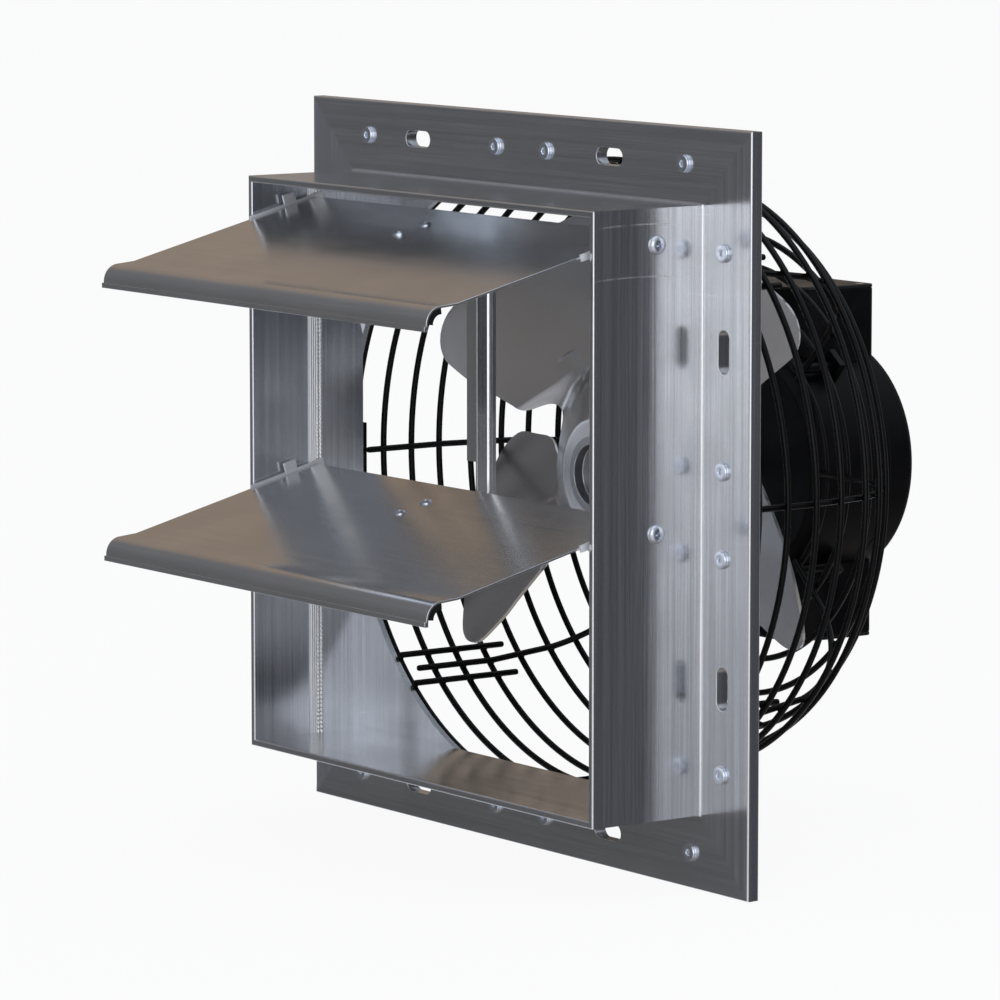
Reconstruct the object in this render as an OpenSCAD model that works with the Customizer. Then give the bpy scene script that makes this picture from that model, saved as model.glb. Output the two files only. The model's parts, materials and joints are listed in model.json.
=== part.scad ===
// Gable mount shutter fan. A square flanged housing goes through the wall and carries two
// linked louvres. A five-bladed fan turns behind them inside a wire guard, and the guard
// carries the motor. The origin is the centre of the flange's front face: X is right,
// Y is back towards the motor and Z is up.

/* [Housing] */
// Width and height of the mounting flange
flange_size = 400; // [330:1:480]
// Width of the flange round the box that goes through the wall
flange_w = 40; // [34:0.5:48]
// Depth of the box in front of the flange
box_depth = 70.8; // [64:0.1:90]
// Thickness of the frame profiles
profile_t = 3.6; // [2:0.1:4]
// Thickness of the rear plate
plate_t = 3.6; // [2:0.1:4]
// How far the round air opening reaches past the outside of the box
opening_over = 10.5; // [8:0.1:12]

/* [Flange fastenings] */
// Distance from the flange's edge to the middle of a slot, before the slots' shift
slot_inset = 112; // [95:0.5:125]
// Length of a slot
slot_len = 23; // [16:0.5:30]
// Width of a slot
slot_w = 9.2; // [6:0.1:11]
// Sideways shift of the slots in the top and bottom flanges
top_slot_shift = -9; // [-12:0.5:12]
// Upward shift of the slots in the side flanges
side_slot_shift = -3; // [-12:0.5:12]
// Distance from the box to the top and bottom rows of fastenings
top_row_out = 20.8; // [19:0.1:24]
// Distance from the box to the side rows of fastenings
side_row_out = 17.6; // [17:0.1:24]
// Distance from the flange's side edge to a corner rivet of the top flange
top_rivet_inset = 55.6; // [46:0.1:66]
// Distance from the flange's side edge to a corner rivet of the bottom flange
bottom_rivet_inset = 48; // [40:0.1:66]
// Distance from the flange's upper or lower edge to a corner rivet of a side flange
side_rivet_inset = 63.7; // [53:0.1:75]
// Distance between the two rivets of a guard clip
clip_rivet_span = 46; // [36:0.5:52]
// Diameter of a rivet's head
rivet_head_d = 9.3; // [7:0.1:11]
// Height of a rivet's head
rivet_head_h = 2.2; // [1:0.1:3]
// Diameter of a rivet's shank
rivet_d = 4.8; // [3:0.1:6]

/* [Louvres] */
// Gap between a louvre's end and the side wall
louvre_gap = 3.7; // [3.3:0.1:6]
// Thickness of the louvre's sheet
louvre_t = 1.2; // [0.8:0.1:2]
// How much less than the distance between the louvres a louvre's flat measures
flat_short = 27.2; // [27:0.1:40]
// Angle that an open louvre drops towards the front
louvre_droop = 14.2; // [6:0.1:20]
// Height of the louvre's sheet over its pivot
louvre_rise = 5.8; // [5:0.1:7]
// How much less than half the box's inner height the louvres are apart
pitch_short = 6.4; // [5:0.1:8]
// Distance from the box's ceiling to the upper louvre's pivot
pivot_inset = 15.4; // [14.5:0.1:18]
// Distance of the pivots in front of the flange's face
pivot_y = 30; // [26:0.1:36]
// Diameter of the pivot screws
pivot_d = 4; // [3:0.1:5]
// Radius of the louvre's curled lip
lip_r = 8.8; // [7:0.1:9]
// Thickness of the seal inside the lip
seal_t = 3; // [1.5:0.1:3.5]

/* [Fan] */
// Gap between the blade tips and the edge of the air opening
tip_gap = 17.9; // [15:0.1:24]
// Thickness of the fan's sheet
blade_t = 1.8; // [1.5:0.1:2.5]
// Angle of the blades to the plane of the fan
blade_pitch = 27.3; // [20:0.1:30]
// Number of blades
blade_count = 5; // [3:1:6]
// Distance of the blades' centre line behind the flange's front face
blade_y = 68.2; // [66:0.1:72]
// Diameter of the motor's shaft
shaft_d = 12.7; // [10:0.1:16]

/* [Guard] */
// Diameter of the guard's wire
wire_d = 3.5; // [2.5:0.1:4]
// Length of the guard's straight part, from its first ring to the start of its taper
guard_straight = 58; // [56:0.1:62]
// Length of the guard's tapered part
guard_taper = 39; // [36:0.1:42]
// Radius lost over the tapered part
guard_taper_in = 7; // [4:0.1:9]
// Width of the guard's flat back from its bend to its innermost ring
guard_flat = 26.4; // [20:0.1:32]
// Number of lengthwise wires
rib_count = 8; // [8:8:16]

/* [Motor] */
// Radius of the motor's casing
casing_r = 66.4; // [55:0.1:80]
// Length of the motor's casing with its end cap
casing_len = 71; // [66:0.5:80]
// How far each side box stands out from the casing
cover_rise = 32.6; // [28:0.1:40]
// Width of the side boxes
cover_w = 72; // [66:0.5:73]
// Length of the side boxes along the shaft
cover_len = 55.4; // [52:0.2:58]
// Diameter of the posts that carry the motor
post_d = 6; // [5:0.1:7]

/* [Hidden] */
$fn = 64;

// Facets of OpenSCAD's own drawing of turned bodies and of wires
turn_sides = 96;
wire_sides = 24;
// Overrun of every cut past the solid that it goes through
cut = 1;
// Gap between pieces that are pressed, glued or welded together
seat_gap = 0.05;
// Gap round a shank that only passes through
hole_gap = 0.15;
// Radial clearance of a pin or shaft that turns in its bore
running_gap = 0.05;
// Radial clearance of the tie bar's lower pivot
loose_gap = 0.2;
// Gap between pieces that move past each other
moving_gap = 0.6;

// Housing
flange_half = flange_size / 2;
box_half = flange_half - flange_w;
box_in = box_half - profile_t;
opening_r = box_half + opening_over;
stack_t = profile_t + plate_t;
top_row = box_half + top_row_out;
side_row = box_half + side_row_out;
bulb_share = 1.5;

// Guard clips
clip_t = 2;
clip_len = 62;
clip_tongue_w = 32;
clip_foot = 7;
clip_lap = 4;

// Pivot strips and the screws that the louvres turn on
strip_t = 1.6;
strip_w = 9;
strip_back = 1;
screw_head_d = 8.7;
screw_head_h = 2.6;
screw_reach = 7.8;
recess_l = 4.6;
recess_w = 1;
recess_depth = 1.4;

// Louvre: the lip runs flat, falls a little, curls and ends in a folded hem
louvre_half = box_in - louvre_gap;
louvre_pitch = box_in - pitch_short;
louvre_flat = louvre_pitch - flat_short;
pivot_z = box_in - pivot_inset;
lip_flat = 10.2;
lip_fall = 0.9;
lip_drop = 3.4;
lip_steps = 8;
hem_t = 1.2;
hem_h = 2.8;
lip_start = louvre_point(louvre_flat, louvre_rise);
lip_top = lip_start + [-lip_flat, -lip_fall];
lip_centre = lip_top - [0, lip_r];
lip_end = lip_centre + [-lip_r, -lip_drop];

// Ears at the louvre's ends: a strip along the edge, a tab above it and an eye below it
ear_t = 1.5;
ear_front = 44;
ear_back = 6;
ear_half_h = 1.9;
ear_tab_s = 12;
ear_tab_w = 8;
ear_tab_h = 7;
ear_eye_r = 4.6;

// Bracket under each louvre and the tie bar that links the two
bracket_t = 1.2;
bracket_x = -5;
bracket_w = 13;
bracket_front = 49;
bracket_back = 15;
bracket_leg_h = 5;
bracket_leg_front = 22;
brace_angle = 42;
bracket_rivet_x = -12;
bracket_rivet_s = 23.8;
bracket_rivet_span = 17.7;
small_rivet_d = 3.2;
small_rivet_head_d = 5.4;
small_rivet_head_h = 1.2;
pin_back = 7.5;
pin_drop = 6;
pin_d = 4;
pin_eye_r = 4.8;
pin_head_r = 3.2;
pin_head_t = 1.3;
tie_t = 1.2;
tie_w = 9.4;
tie_depth = 12.7;
tie_front = 5.8;
tie_web_stop = 25.2;

// Fan: a dished disc swaged onto a hub, with its blades pressed from the same sheet
blade_r = opening_r - tip_gap;
dish_in_r = 30;
dish_r = 48;
dish_y = 50;
dish_rise = 10;
collar_r = 19;
collar_t = 2;
collar_lip = 2.2;
collar_lip_t = 1.6;
hub_flange_r = 28;
hub_flange_t = 3;
hub_r = 15;
hub_len = 32;
hub_recess = 5;
shaft_proud = 2;
set_screw_d = 6;
blade_first = 130.9;
root_lap = 6;
root_sink = 0.2;
root_end_r = dish_r + root_sink;
twist_end = 70;
corner_r = 22;
blade_rows = 14;
corner_rows = 5;
blade_cols = 9;
// Each row holds a radius and the blade's reach ahead of and behind its centre line there
blade_shares = [
    [0.250, 0.111, 0.111], [0.377, 0.111, 0.111], [0.426, 0.131, 0.124], [0.486, 0.212, 0.175],
    [0.550, 0.246, 0.230], [0.600, 0.269, 0.275], [0.655, 0.294, 0.308], [0.735, 0.334, 0.338],
    [0.870, 0.382, 0.388], [1.000, 0.423, 0.432]
];

// Guard: rings welded outside the lengthwise wires
wire_r = wire_d / 2;
ring_peek = 0.25;
guard_r = opening_r + wire_r - ring_peek;
guard_y = stack_t + wire_r + seat_gap;
bend_angle = 18;
bend_ring_angles = [31, 45, 64, 80];
straight_rings = 4;
taper_rings = 2;
rib_start = 2.2;
back_ring_share = 0.3;
stiffener_len = 71.5;
stiffener_offset = 10;
post_out = 5.6;
post_side = 9.5;
inner_ring_r = casing_r + post_out;
post_x = cover_w / 2 + post_side;
post_circle = [post_x, sqrt(inner_ring_r * inner_ring_r - post_x * post_x)];
taper_y = guard_y + guard_straight;
bend_start = [guard_r - guard_taper_in, taper_y + guard_taper];
guard_bend_r = (bend_start[0] - inner_ring_r - guard_flat) / cos(bend_angle);
bend_centre = bend_start - guard_bend_r * [cos(bend_angle), sin(bend_angle)];
guard_back_y = bend_centre[1] + guard_bend_r;
rib_in = wire_d + seat_gap;
rib_bend_r = guard_bend_r - rib_in;
rib_bend_steps = 9;
rib_sides = 12;

// Motor
casing_t = 2.5;
nose_inset = 2.4;
casing_y = guard_back_y - nose_inset;
nose_in = 4.8;
casing_nose_r = casing_r - nose_in;
casing_nose_h = 6;
cap_share = 0.26;
cap_round = 5;
cap_steps = 8;
cap_y = casing_y + casing_len * (1 - cap_share);
casing_end = casing_y + casing_len;
bearing_r = 13;
bearing_w = 9;
boss_t = 3;
stator_in_r = 35.5;
stator_len = 34;
stator_y = 13;
air_gap = 0.4;
shaft_end_gap = 4;
lug_w = 13;
lug_t = 4;
lug_out = 7;
lug_y = 26;
lug_screw_d = 4;
lug_screw_head_r = 4;
lug_screw_head_h = 3;
lug_screw_len = 14;

// Boxes above and below the motor
cover_t = 2;
cover_reach = casing_r + cover_rise;
cover_inset = 5.4;
cover_y = casing_end - cover_inset - cover_len;
cover_flank = 5.4;
cover_front_r = (cover_len - cover_flank) / 2;
cover_back_r = 3.5;
lid_t = 2;
lid_screw_d = 5;
lid_screw_inset = 6;
lid_boss_len = 12;
capacitor_r = 11;
capacitor_len = 44;
gland_d = 16;
gland_len = 13;
gland_flange_d = 22;
gland_flange_t = 5;
gland_bore_d = 8;
gland_inset = 17;
gland_drop = cover_reach - gland_inset;

// Point of a louvre's section at a distance from the pivot along the sheet and above it,
// with the pivot at zero and the louvre open
function louvre_point(along, above) = [
    -along * cos(louvre_droop) - above * sin(louvre_droop),
    -along * sin(louvre_droop) + above * cos(louvre_droop)
];

// Points of a round stretch
function arc_points(centre, r, from, to, steps) = [
    for (i = [0 : steps]) let (a = from + (to - from) * i / steps) centre + r * [cos(a), sin(a)]
];

// Unit vector square to the path at one of its points
function path_normal(path, i) =
    let (d = path[min(i + 1, len(path) - 1)] - path[max(i - 1, 0)]) [-d[1], d[0]] / norm(d);

// Outline of a sheet of even thickness bent along a path
function sheet_outline(path, t) = concat(
    [for (i = [0 : len(path) - 1]) path[i] + path_normal(path, i) * t / 2],
    [for (i = [len(path) - 1 : -1 : 0]) path[i] - path_normal(path, i) * t / 2]
);

// Height of a louvre's pivot: 0 is the upper louvre and 1 the lower one
function pivot_height(i) = pivot_z - i * louvre_pitch;

// Place of the tie pin, relative to the pivot
pin_place = louvre_point(-pin_back, -pin_drop);

// Turns a shape drawn in X and Z into a plate between two depths
module plate_y(from, to) {
    rotate([90, 0, 0]) translate([0, 0, -to]) linear_extrude(to - from) children();
}

// Turns a shape drawn in Y and Z into a plate between two places along X
module plate_x(from, to) {
    translate([from, 0, 0]) rotate([90, 0, 90]) linear_extrude(to - from) children();
}

// Round bar along the fan's axis between two depths
module bar_y(r, from, to) {
    rotate([90, 0, 0]) translate([0, 0, -to]) cylinder(r = r, h = to - from);
}

// Round bar along X
module bar_x(r, from, to) {
    translate([from, 0, 0]) rotate([0, 90, 0]) cylinder(r = r, h = to - from);
}

// Body turned about the fan's axis, from points of radius and depth
module turned(points) {
    rotate([90, 0, 0]) rotate_extrude($fn = turn_sides) polygon([for (p = points) [p[0], -p[1]]]);
}

// Straight piece of wire between two points
module wire(a, b, d) {
    v = b - a;
    translate(a)
        rotate([0, acos(v[2] / norm(v)), atan2(v[1], v[0])])
            cylinder(d = d, h = norm(v), $fn = wire_sides);
}

// Slot of a given length and width, drawn along its first axis
module slot(l, w) {
    square([l - w, w], center = true);
    for (s = [-1, 1]) translate([s * (l - w) / 2, 0]) circle(d = w);
}

// Domed head that rises along Z from zero
module dome(r, h) {
    ball = (r * r + h * h) / (2 * h);
    intersection() {
        translate([0, 0, h - ball]) sphere(r = ball);
        cylinder(r = r, h = h + cut);
    }
}

// Places of the two slots along a side, before its shift
slot_ends = [slot_inset - flange_half, flange_half - slot_inset];

// Slots of the flange: 0 is the top side, 1 the left, 2 the bottom and 3 the right
module side_slots(side) {
    if (side == 0 || side == 2)
        for (x = slot_ends)
            translate([x + top_slot_shift, (1 - side) * top_row]) slot(slot_len, slot_w);
    else
        for (z = slot_ends)
            translate([(side - 2) * side_row, z + side_slot_shift]) rotate(90) slot(slot_len, slot_w);
}

// Places of a side's corner rivets
function corner_places(side) =
    side == 0 ? [for (s = [-1, 1]) [s * (flange_half - top_rivet_inset), top_row]] :
    side == 2 ? [for (s = [-1, 1]) [s * (flange_half - bottom_rivet_inset), -top_row]] :
    [for (s = [-1, 1]) [(side - 2) * side_row, s * (flange_half - side_rivet_inset)]];

// Places of a side's clip rivets
function clip_places(side) =
    side == 0 || side == 2 ? [for (s = [-1, 1]) [s * clip_rivet_span / 2, (1 - side) * top_row]] :
    [for (s = [-1, 1]) [(side - 2) * side_row, s * clip_rivet_span / 2]];

// Clearance holes for all rivets of a side
module rivet_holes(side) {
    for (p = concat(corner_places(side), clip_places(side)))
        translate(p) circle(d = rivet_d + 2 * seat_gap);
}

// One mitred side of the frame, drawn as the top one and turned to its place
module frame_side(side) {
    color("silver") difference() {
        rotate([0, -90 * side, 0]) {
            plate_y(-box_depth, profile_t)
                polygon([[-box_half, box_half], [box_half, box_half],
                         [box_in, box_in], [-box_in, box_in]]);
            plate_y(0, profile_t)
                polygon([[-flange_half, flange_half], [flange_half, flange_half],
                         [box_in, box_in], [-box_in, box_in]]);
        }
        plate_y(-cut, profile_t + cut) {
            side_slots(side);
            rivet_holes(side);
        }
        if (side == 1 || side == 3)
            for (i = [0, 1])
                translate([0, -pivot_y, pivot_height(i)])
                    bar_x(pivot_d / 2 + hole_gap,
                          min((side - 2) * (box_in - cut), (side - 2) * (box_half + cut)),
                          max((side - 2) * (box_in - cut), (side - 2) * (box_half + cut)));
    }
}

module frame_top() { frame_side(0); }
module frame_left() { frame_side(1); }
module frame_bottom() { frame_side(2); }
module frame_right() { frame_side(3); }

// Flat plate behind the frame, with the round air opening
module rear_plate() {
    color("gainsboro") difference() {
        plate_y(profile_t, stack_t) difference() {
            square(flange_size, center = true);
            for (side = [0 : 3]) {
                side_slots(side);
                rivet_holes(side);
            }
        }
        bar_y(opening_r, profile_t - cut, stack_t + cut);
    }
}

// Blind rivet with a domed head in front and a bulb at the end of its grip
module rivet(grip) {
    rotate([90, 0, 0]) difference() {
        union() {
            dome(rivet_head_d / 2, rivet_head_h);
            translate([0, 0, -grip - rivet_d / 2]) cylinder(d = rivet_d, h = grip + rivet_d / 2);
            translate([0, 0, -grip - rivet_d / 2]) cylinder(d = rivet_d * bulb_share, h = rivet_d / 2);
        }
        translate([0, 0, rivet_head_h / 2]) cylinder(d = rivet_d / 2, h = rivet_head_h);
    }
}

module corner_rivets() {
    color("lightgray")
        for (side = [0 : 3], p = corner_places(side)) translate([p[0], 0, p[1]]) rivet(stack_t);
}

module clip_rivets() {
    color("lightgray")
        for (side = [0 : 3], p = clip_places(side))
            translate([p[0], 0, p[1]]) rivet(stack_t + clip_t);
}

// Distance from the centre to a side's row of fastenings
function row_of(side) = side == 0 || side == 2 ? top_row : side_row;

// Clip with its foot riveted to the rear plate and a tongue over the guard's first ring
module guard_clip(row) {
    foot_y = stack_t + clip_t / 2;
    lip_y = stack_t + wire_d + 2 * seat_gap + clip_t / 2;
    ring_edge = guard_r + wire_r;
    path = [[foot_y, row], [foot_y, ring_edge + clip_t + wire_r / 2],
            [lip_y, ring_edge + clip_t / 2], [lip_y, guard_r - wire_r - clip_lap]];
    difference() {
        union() {
            plate_y(stack_t, stack_t + clip_t)
                translate([-clip_len / 2, ring_edge + hole_gap])
                    square([clip_len, row + clip_foot - ring_edge - hole_gap]);
            plate_x(-clip_tongue_w / 2, clip_tongue_w / 2) polygon(sheet_outline(path, clip_t));
        }
        for (s = [-1, 1])
            translate([s * clip_rivet_span / 2, 0, row])
                bar_y(rivet_d / 2 + seat_gap, stack_t - cut, stack_t + clip_t + cut);
    }
}

module guard_clips() {
    color("dimgray") for (side = [0 : 3]) rotate([0, -90 * side, 0]) guard_clip(row_of(side));
}

// Strip that stiffens a side wall along the louvres' pivots
module pivot_strip(s) {
    inner = s * (box_in - strip_t);
    outer = s * box_in;
    color("white") difference() {
        plate_x(min(inner, outer), max(inner, outer))
            translate([-pivot_y + strip_back, 0]) square([strip_w, 2 * box_in], center = true);
        for (i = [0, 1])
            translate([0, -pivot_y, pivot_height(i)])
                bar_x(pivot_d / 2 + hole_gap, min(inner, outer) - cut, max(inner, outer) + cut);
    }
}

module pivot_strip_left() { pivot_strip(-1); }
module pivot_strip_right() { pivot_strip(1); }

// Pan-head screw with a cross recess, its head on the wall's outer face
module pivot_screw() {
    difference() {
        union() {
            dome(screw_head_d / 2, screw_head_h);
            translate([0, 0, -screw_reach]) cylinder(d = pivot_d, h = screw_reach + cut);
        }
        for (a = [0, 90])
            rotate(a) translate([-recess_l / 2, -recess_w / 2, screw_head_h - recess_depth])
                cube([recess_l, recess_w, recess_depth + cut]);
    }
}

module pivot_screws() {
    color("silver")
        for (s = [-1, 1], i = [0, 1])
            translate([s * box_half, -pivot_y, pivot_height(i)]) rotate([0, s * 90, 0]) pivot_screw();
}

// Moves to a louvre's pivot
module at_pivot(i) {
    translate([0, -pivot_y, pivot_height(i)]) children();
}

// Turns to a louvre's sheet: X across it, Y back along it and Z square to it
module on_sheet(i) {
    at_pivot(i) rotate([louvre_droop, 0, 0]) children();
}

// Places of the bracket's rivets along the sheet
bracket_rivet_places = [bracket_rivet_s, bracket_rivet_s + bracket_rivet_span];

// Bent sheet with a curled lip and a folded hem
module louvre(i) {
    path = concat(
        [louvre_point(0, louvre_rise), lip_start],
        arc_points(lip_centre, lip_r, 90, 180, lip_steps),
        [lip_end]
    );
    color("silver") difference() {
        at_pivot(i) plate_x(-louvre_half, louvre_half) {
            polygon(sheet_outline(path, louvre_t));
            translate(lip_end - [louvre_t / 2 + hem_t, 0]) square([hem_t + louvre_t / 2, hem_h]);
        }
        on_sheet(i)
            for (s = bracket_rivet_places)
                translate([bracket_rivet_x, -s, louvre_rise - louvre_t])
                    cylinder(d = small_rivet_d + 2 * seat_gap, h = 2 * louvre_t);
    }
}

module louvre_top() { louvre(0); }
module louvre_bottom() { louvre(1); }

// Soft strip glued inside the lip
module louvre_seal(i) {
    r = lip_r - (louvre_t + seal_t) / 2 - seat_gap;
    color("black") at_pivot(i)
        plate_x(-louvre_half, louvre_half)
            polygon(sheet_outline(arc_points(lip_centre, r, 90, 180, lip_steps), seal_t));
}

module louvre_seal_top() { louvre_seal(0); }
module louvre_seal_bottom() { louvre_seal(1); }

// Ear on each end of a louvre, with the eye that turns on the pivot screw
module pivot_ears(i) {
    color("white") on_sheet(i)
        for (s = [-1, 1])
            plate_x(s > 0 ? louvre_half : -louvre_half - ear_t,
                    s > 0 ? louvre_half + ear_t : -louvre_half)
                difference() {
                    union() {
                        translate([-ear_front, louvre_rise - ear_half_h])
                            square([ear_front + ear_back, 2 * ear_half_h]);
                        translate([-ear_tab_s - ear_tab_w, louvre_rise])
                            square([ear_tab_w, ear_tab_h]);
                        translate([-ear_eye_r, 0]) square([2 * ear_eye_r, louvre_rise]);
                        circle(r = ear_eye_r);
                    }
                    circle(r = pivot_d / 2 + running_gap);
                }
}

module pivot_ears_top() { pivot_ears(0); }
module pivot_ears_bottom() { pivot_ears(1); }

// Angle bracket riveted under a louvre: a foot on the sheet and an arm back to the tie pin
module tie_bracket(i) {
    top = louvre_rise - louvre_t / 2;
    color("silver") on_sheet(i) difference() {
        union() {
            translate([bracket_x - bracket_t - bracket_w, -bracket_front, top - bracket_t])
                cube([bracket_w + bracket_t, bracket_front - bracket_back, bracket_t]);
            plate_x(bracket_x - bracket_t, bracket_x) {
                polygon([[-bracket_front, top], [0, top],
                         [pin_back + pin_eye_r * sin(brace_angle),
                          -pin_drop + pin_eye_r * cos(brace_angle)],
                         [pin_back, -pin_drop],
                         [pin_back, -pin_drop - pin_eye_r],
                         [-bracket_leg_front, top - bracket_leg_h],
                         [-bracket_front, top - bracket_leg_h]]);
                translate([pin_back, -pin_drop]) circle(r = pin_eye_r);
            }
        }
        translate([0, pin_back, -pin_drop])
            bar_x(pin_d / 2 + seat_gap, bracket_x - bracket_t - cut, bracket_x + cut);
        for (s = bracket_rivet_places)
            translate([bracket_rivet_x, -s, top - bracket_t - cut])
                cylinder(d = small_rivet_d + 2 * seat_gap, h = bracket_t + 2 * cut);
    }
}

module tie_bracket_top() { tie_bracket(0); }
module tie_bracket_bottom() { tie_bracket(1); }

// Small rivets that hold the bracket, with a head on the louvre and a bulb under the foot
module bracket_rivets(i) {
    grip = louvre_t + bracket_t;
    color("lightgray") on_sheet(i)
        for (s = bracket_rivet_places)
            translate([bracket_rivet_x, -s, louvre_rise + louvre_t / 2]) {
                dome(small_rivet_head_d / 2, small_rivet_head_h);
                translate([0, 0, -grip - small_rivet_head_h])
                    cylinder(d = small_rivet_d, h = grip + small_rivet_head_h);
                translate([0, 0, -grip - small_rivet_head_h])
                    cylinder(d = small_rivet_head_d, h = small_rivet_head_h);
            }
}

module bracket_rivets_top() { bracket_rivets(0); }
module bracket_rivets_bottom() { bracket_rivets(1); }

// Place of the tie bar's flange along X, on the far side of the brackets
tie_x = bracket_x + moving_gap;

// Headed pin in the bracket's eye that the tie bar turns on
module tie_pin(i) {
    color("lightgray") at_pivot(i) translate([0, pin_place[0], pin_place[1]]) {
        bar_x(pin_d / 2, bracket_x - bracket_t - pin_head_t / 2, tie_x + tie_t + moving_gap);
        bar_x(pin_head_r, bracket_x - bracket_t - pin_head_t, bracket_x - bracket_t);
        bar_x(pin_head_r, tie_x + tie_t + moving_gap / 2,
              tie_x + tie_t + moving_gap / 2 + pin_head_t);
    }
}

module tie_pin_top() { tie_pin(0); }
module tie_pin_bottom() { tie_pin(1); }

// Angle bar behind the louvres. Its web stops clear of the brackets at both ends
module tie_bar() {
    pin_y = -pivot_y + pin_place[0];
    high = pivot_height(0) + pin_place[1];
    low = pivot_height(1) + pin_place[1];
    color("silver") difference() {
        union() {
            plate_x(tie_x, tie_x + tie_t) {
                translate([pin_y - tie_front, low]) square([tie_depth, high - low]);
                for (z = [low, high])
                    translate([pin_y - tie_front + tie_depth / 2, z]) circle(d = tie_depth);
            }
            translate([tie_x + tie_t - tie_w, pin_y - tie_front, low + tie_web_stop])
                cube([tie_w, tie_t, high - low - 2 * tie_web_stop]);
        }
        translate([0, pin_y, high]) bar_x(pin_d / 2 + running_gap, tie_x - cut, tie_x + tie_t + cut);
        translate([0, pin_y, low]) bar_x(pin_d / 2 + loose_gap, tie_x - cut, tie_x + tie_t + cut);
    }
}

// Eased step from 0 at the disc's rim to 1 where the blade has its full pitch
function eased(r) =
    let (u = max(0, min(1, (r - root_end_r) / (twist_end - root_end_r)))) u * u * (3 - 2 * u);

// Depth of the dished disc's middle surface at a radius
function dish_depth(r) =
    dish_y + blade_t / 2 + max(0, r - dish_in_r) * dish_rise / (dish_r - dish_in_r);

// Depth of the fan's sheet at a distance along a blade's centre line and across it
function sheet_depth(along, across) =
    let (k = eased(along))
    (1 - k) * dish_depth(norm([along, across])) + k * (blade_y - across * tan(blade_pitch));

// Radii of a blade's rows: one inside the disc, even steps from its rim, and closer steps round
// the corners of the tip
blade_radii = concat(
    [dish_r - root_lap],
    [for (i = [0 : blade_rows - 1])
        root_end_r + (blade_r - corner_r - root_end_r) * i / blade_rows],
    [for (i = [0 : corner_rows])
        blade_r - corner_r + corner_r * sin(90 * i / corner_rows)]
);

// How far the corner's rounding draws the blade's edge in at a radius
function corner_in(r) =
    let (d = max(0, r - blade_r + corner_r))
    corner_r - sqrt(max(0, corner_r * corner_r - d * d));

// Reach of a blade from its centre line at a radius: column 1 is its front edge and 2 its rear
function reach(r, column) =
    blade_r * lookup(r / blade_r, [for (row = blade_shares) [row[0], row[column]]]) - corner_in(r);

// Point on the front or back of a blade, with its centre line along X and Z to the front. The root
// is thinner than the disc, so that its faces end inside it
function blade_point(r, share, side) =
    let (
        across = -reach(r, 2) + share * (reach(r, 1) + reach(r, 2)),
        along = sqrt(r * r - across * across)
    )
    [along, across, -sheet_depth(along, across) + side * (blade_t / 2 - root_sink * (1 - eased(along)))];

// Blade as one closed skin: a grid in front, the same grid behind and the edges between them
module blade() {
    rows = len(blade_radii);
    cols = blade_cols + 1;
    count = rows * cols;
    points = [
        for (side = [1, -1], r = blade_radii, j = [0 : blade_cols])
            blade_point(r, j / blade_cols, side)
    ];
    grid = [
        for (i = [0 : rows - 2], j = [0 : cols - 2])
            let (a = i * cols + j, b = a + 1, c = a + cols, d = c + 1)
            each [[a, b, d], [a, d, c], [count + a, count + d, count + b],
                  [count + a, count + c, count + d]]
    ];
    ends = [
        for (j = [0 : cols - 2])
            let (a = j, b = (rows - 1) * cols + j)
            each [[a, count + a, count + a + 1], [a, count + a + 1, a + 1],
                  [b, b + 1, count + b + 1], [b, count + b + 1, count + b]]
    ];
    edges = [
        for (i = [0 : rows - 2])
            let (a = i * cols, b = a + cols - 1)
            each [[a, a + cols, count + a + cols], [a, count + a + cols, count + a],
                  [b, count + b + cols, b + cols], [b, count + b, count + b + cols]]
    ];
    polyhedron(points, concat(grid, ends, edges));
}

// Fan pressed from one sheet: a dished disc with its blades
module fan_wheel() {
    color("silver") union() {
        turned([[collar_r + seat_gap, dish_y], [dish_in_r, dish_y], [dish_r, dish_y + dish_rise],
                [dish_r, dish_y + dish_rise + blade_t], [dish_in_r, dish_y + blade_t],
                [collar_r + seat_gap, dish_y + blade_t]]);
        for (i = [0 : blade_count - 1])
            rotate([90, 0, 0]) rotate(blade_first + i * 360 / blade_count) blade();
    }
}

// Turned hub whose collar is swaged over the disc
module fan_hub() {
    back = dish_y + blade_t;
    shaft_r = shaft_d / 2 + seat_gap / 2;
    color("dimgray") difference() {
        turned([[collar_r - collar_t, dish_y - collar_lip_t],
                [collar_r + collar_lip, dish_y - collar_lip_t],
                [collar_r + collar_lip, dish_y - seat_gap], [collar_r, dish_y - seat_gap],
                [collar_r, back + seat_gap], [hub_flange_r, back + seat_gap],
                [hub_flange_r, back + hub_flange_t], [hub_r, back + hub_flange_t],
                [hub_r, back + hub_len], [shaft_r, back + hub_len],
                [shaft_r, back + hub_recess], [collar_r - collar_t, back + hub_recess / 2]]);
        translate([0, back + hub_len / 2, 0]) bar_x(set_screw_d / 2 + seat_gap, 0, hub_r + cut);
    }
}

module hub_set_screw() {
    color("black") translate([0, dish_y + blade_t + hub_len / 2, 0])
        bar_x(set_screw_d / 2, shaft_d / 2 + seat_gap, hub_r);
}

module motor_shaft() {
    color("silver")
        bar_y(shaft_d / 2, dish_y + blade_t + hub_recess - shaft_proud, casing_end - shaft_end_gap);
}

// Laminated core on the shaft
module rotor_core() {
    color("gray") difference() {
        bar_y(stator_in_r - air_gap, casing_y + stator_y, casing_y + stator_y + stator_len);
        bar_y(shaft_d / 2 + seat_gap / 2, casing_y, casing_end);
    }
}

// Ring of the guard
module guard_ring(r, depth) {
    rotate([90, 0, 0]) translate([0, 0, -depth]) rotate_extrude($fn = turn_sides)
        translate([r, 0]) circle(d = wire_d, $fn = wire_sides);
}

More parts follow.
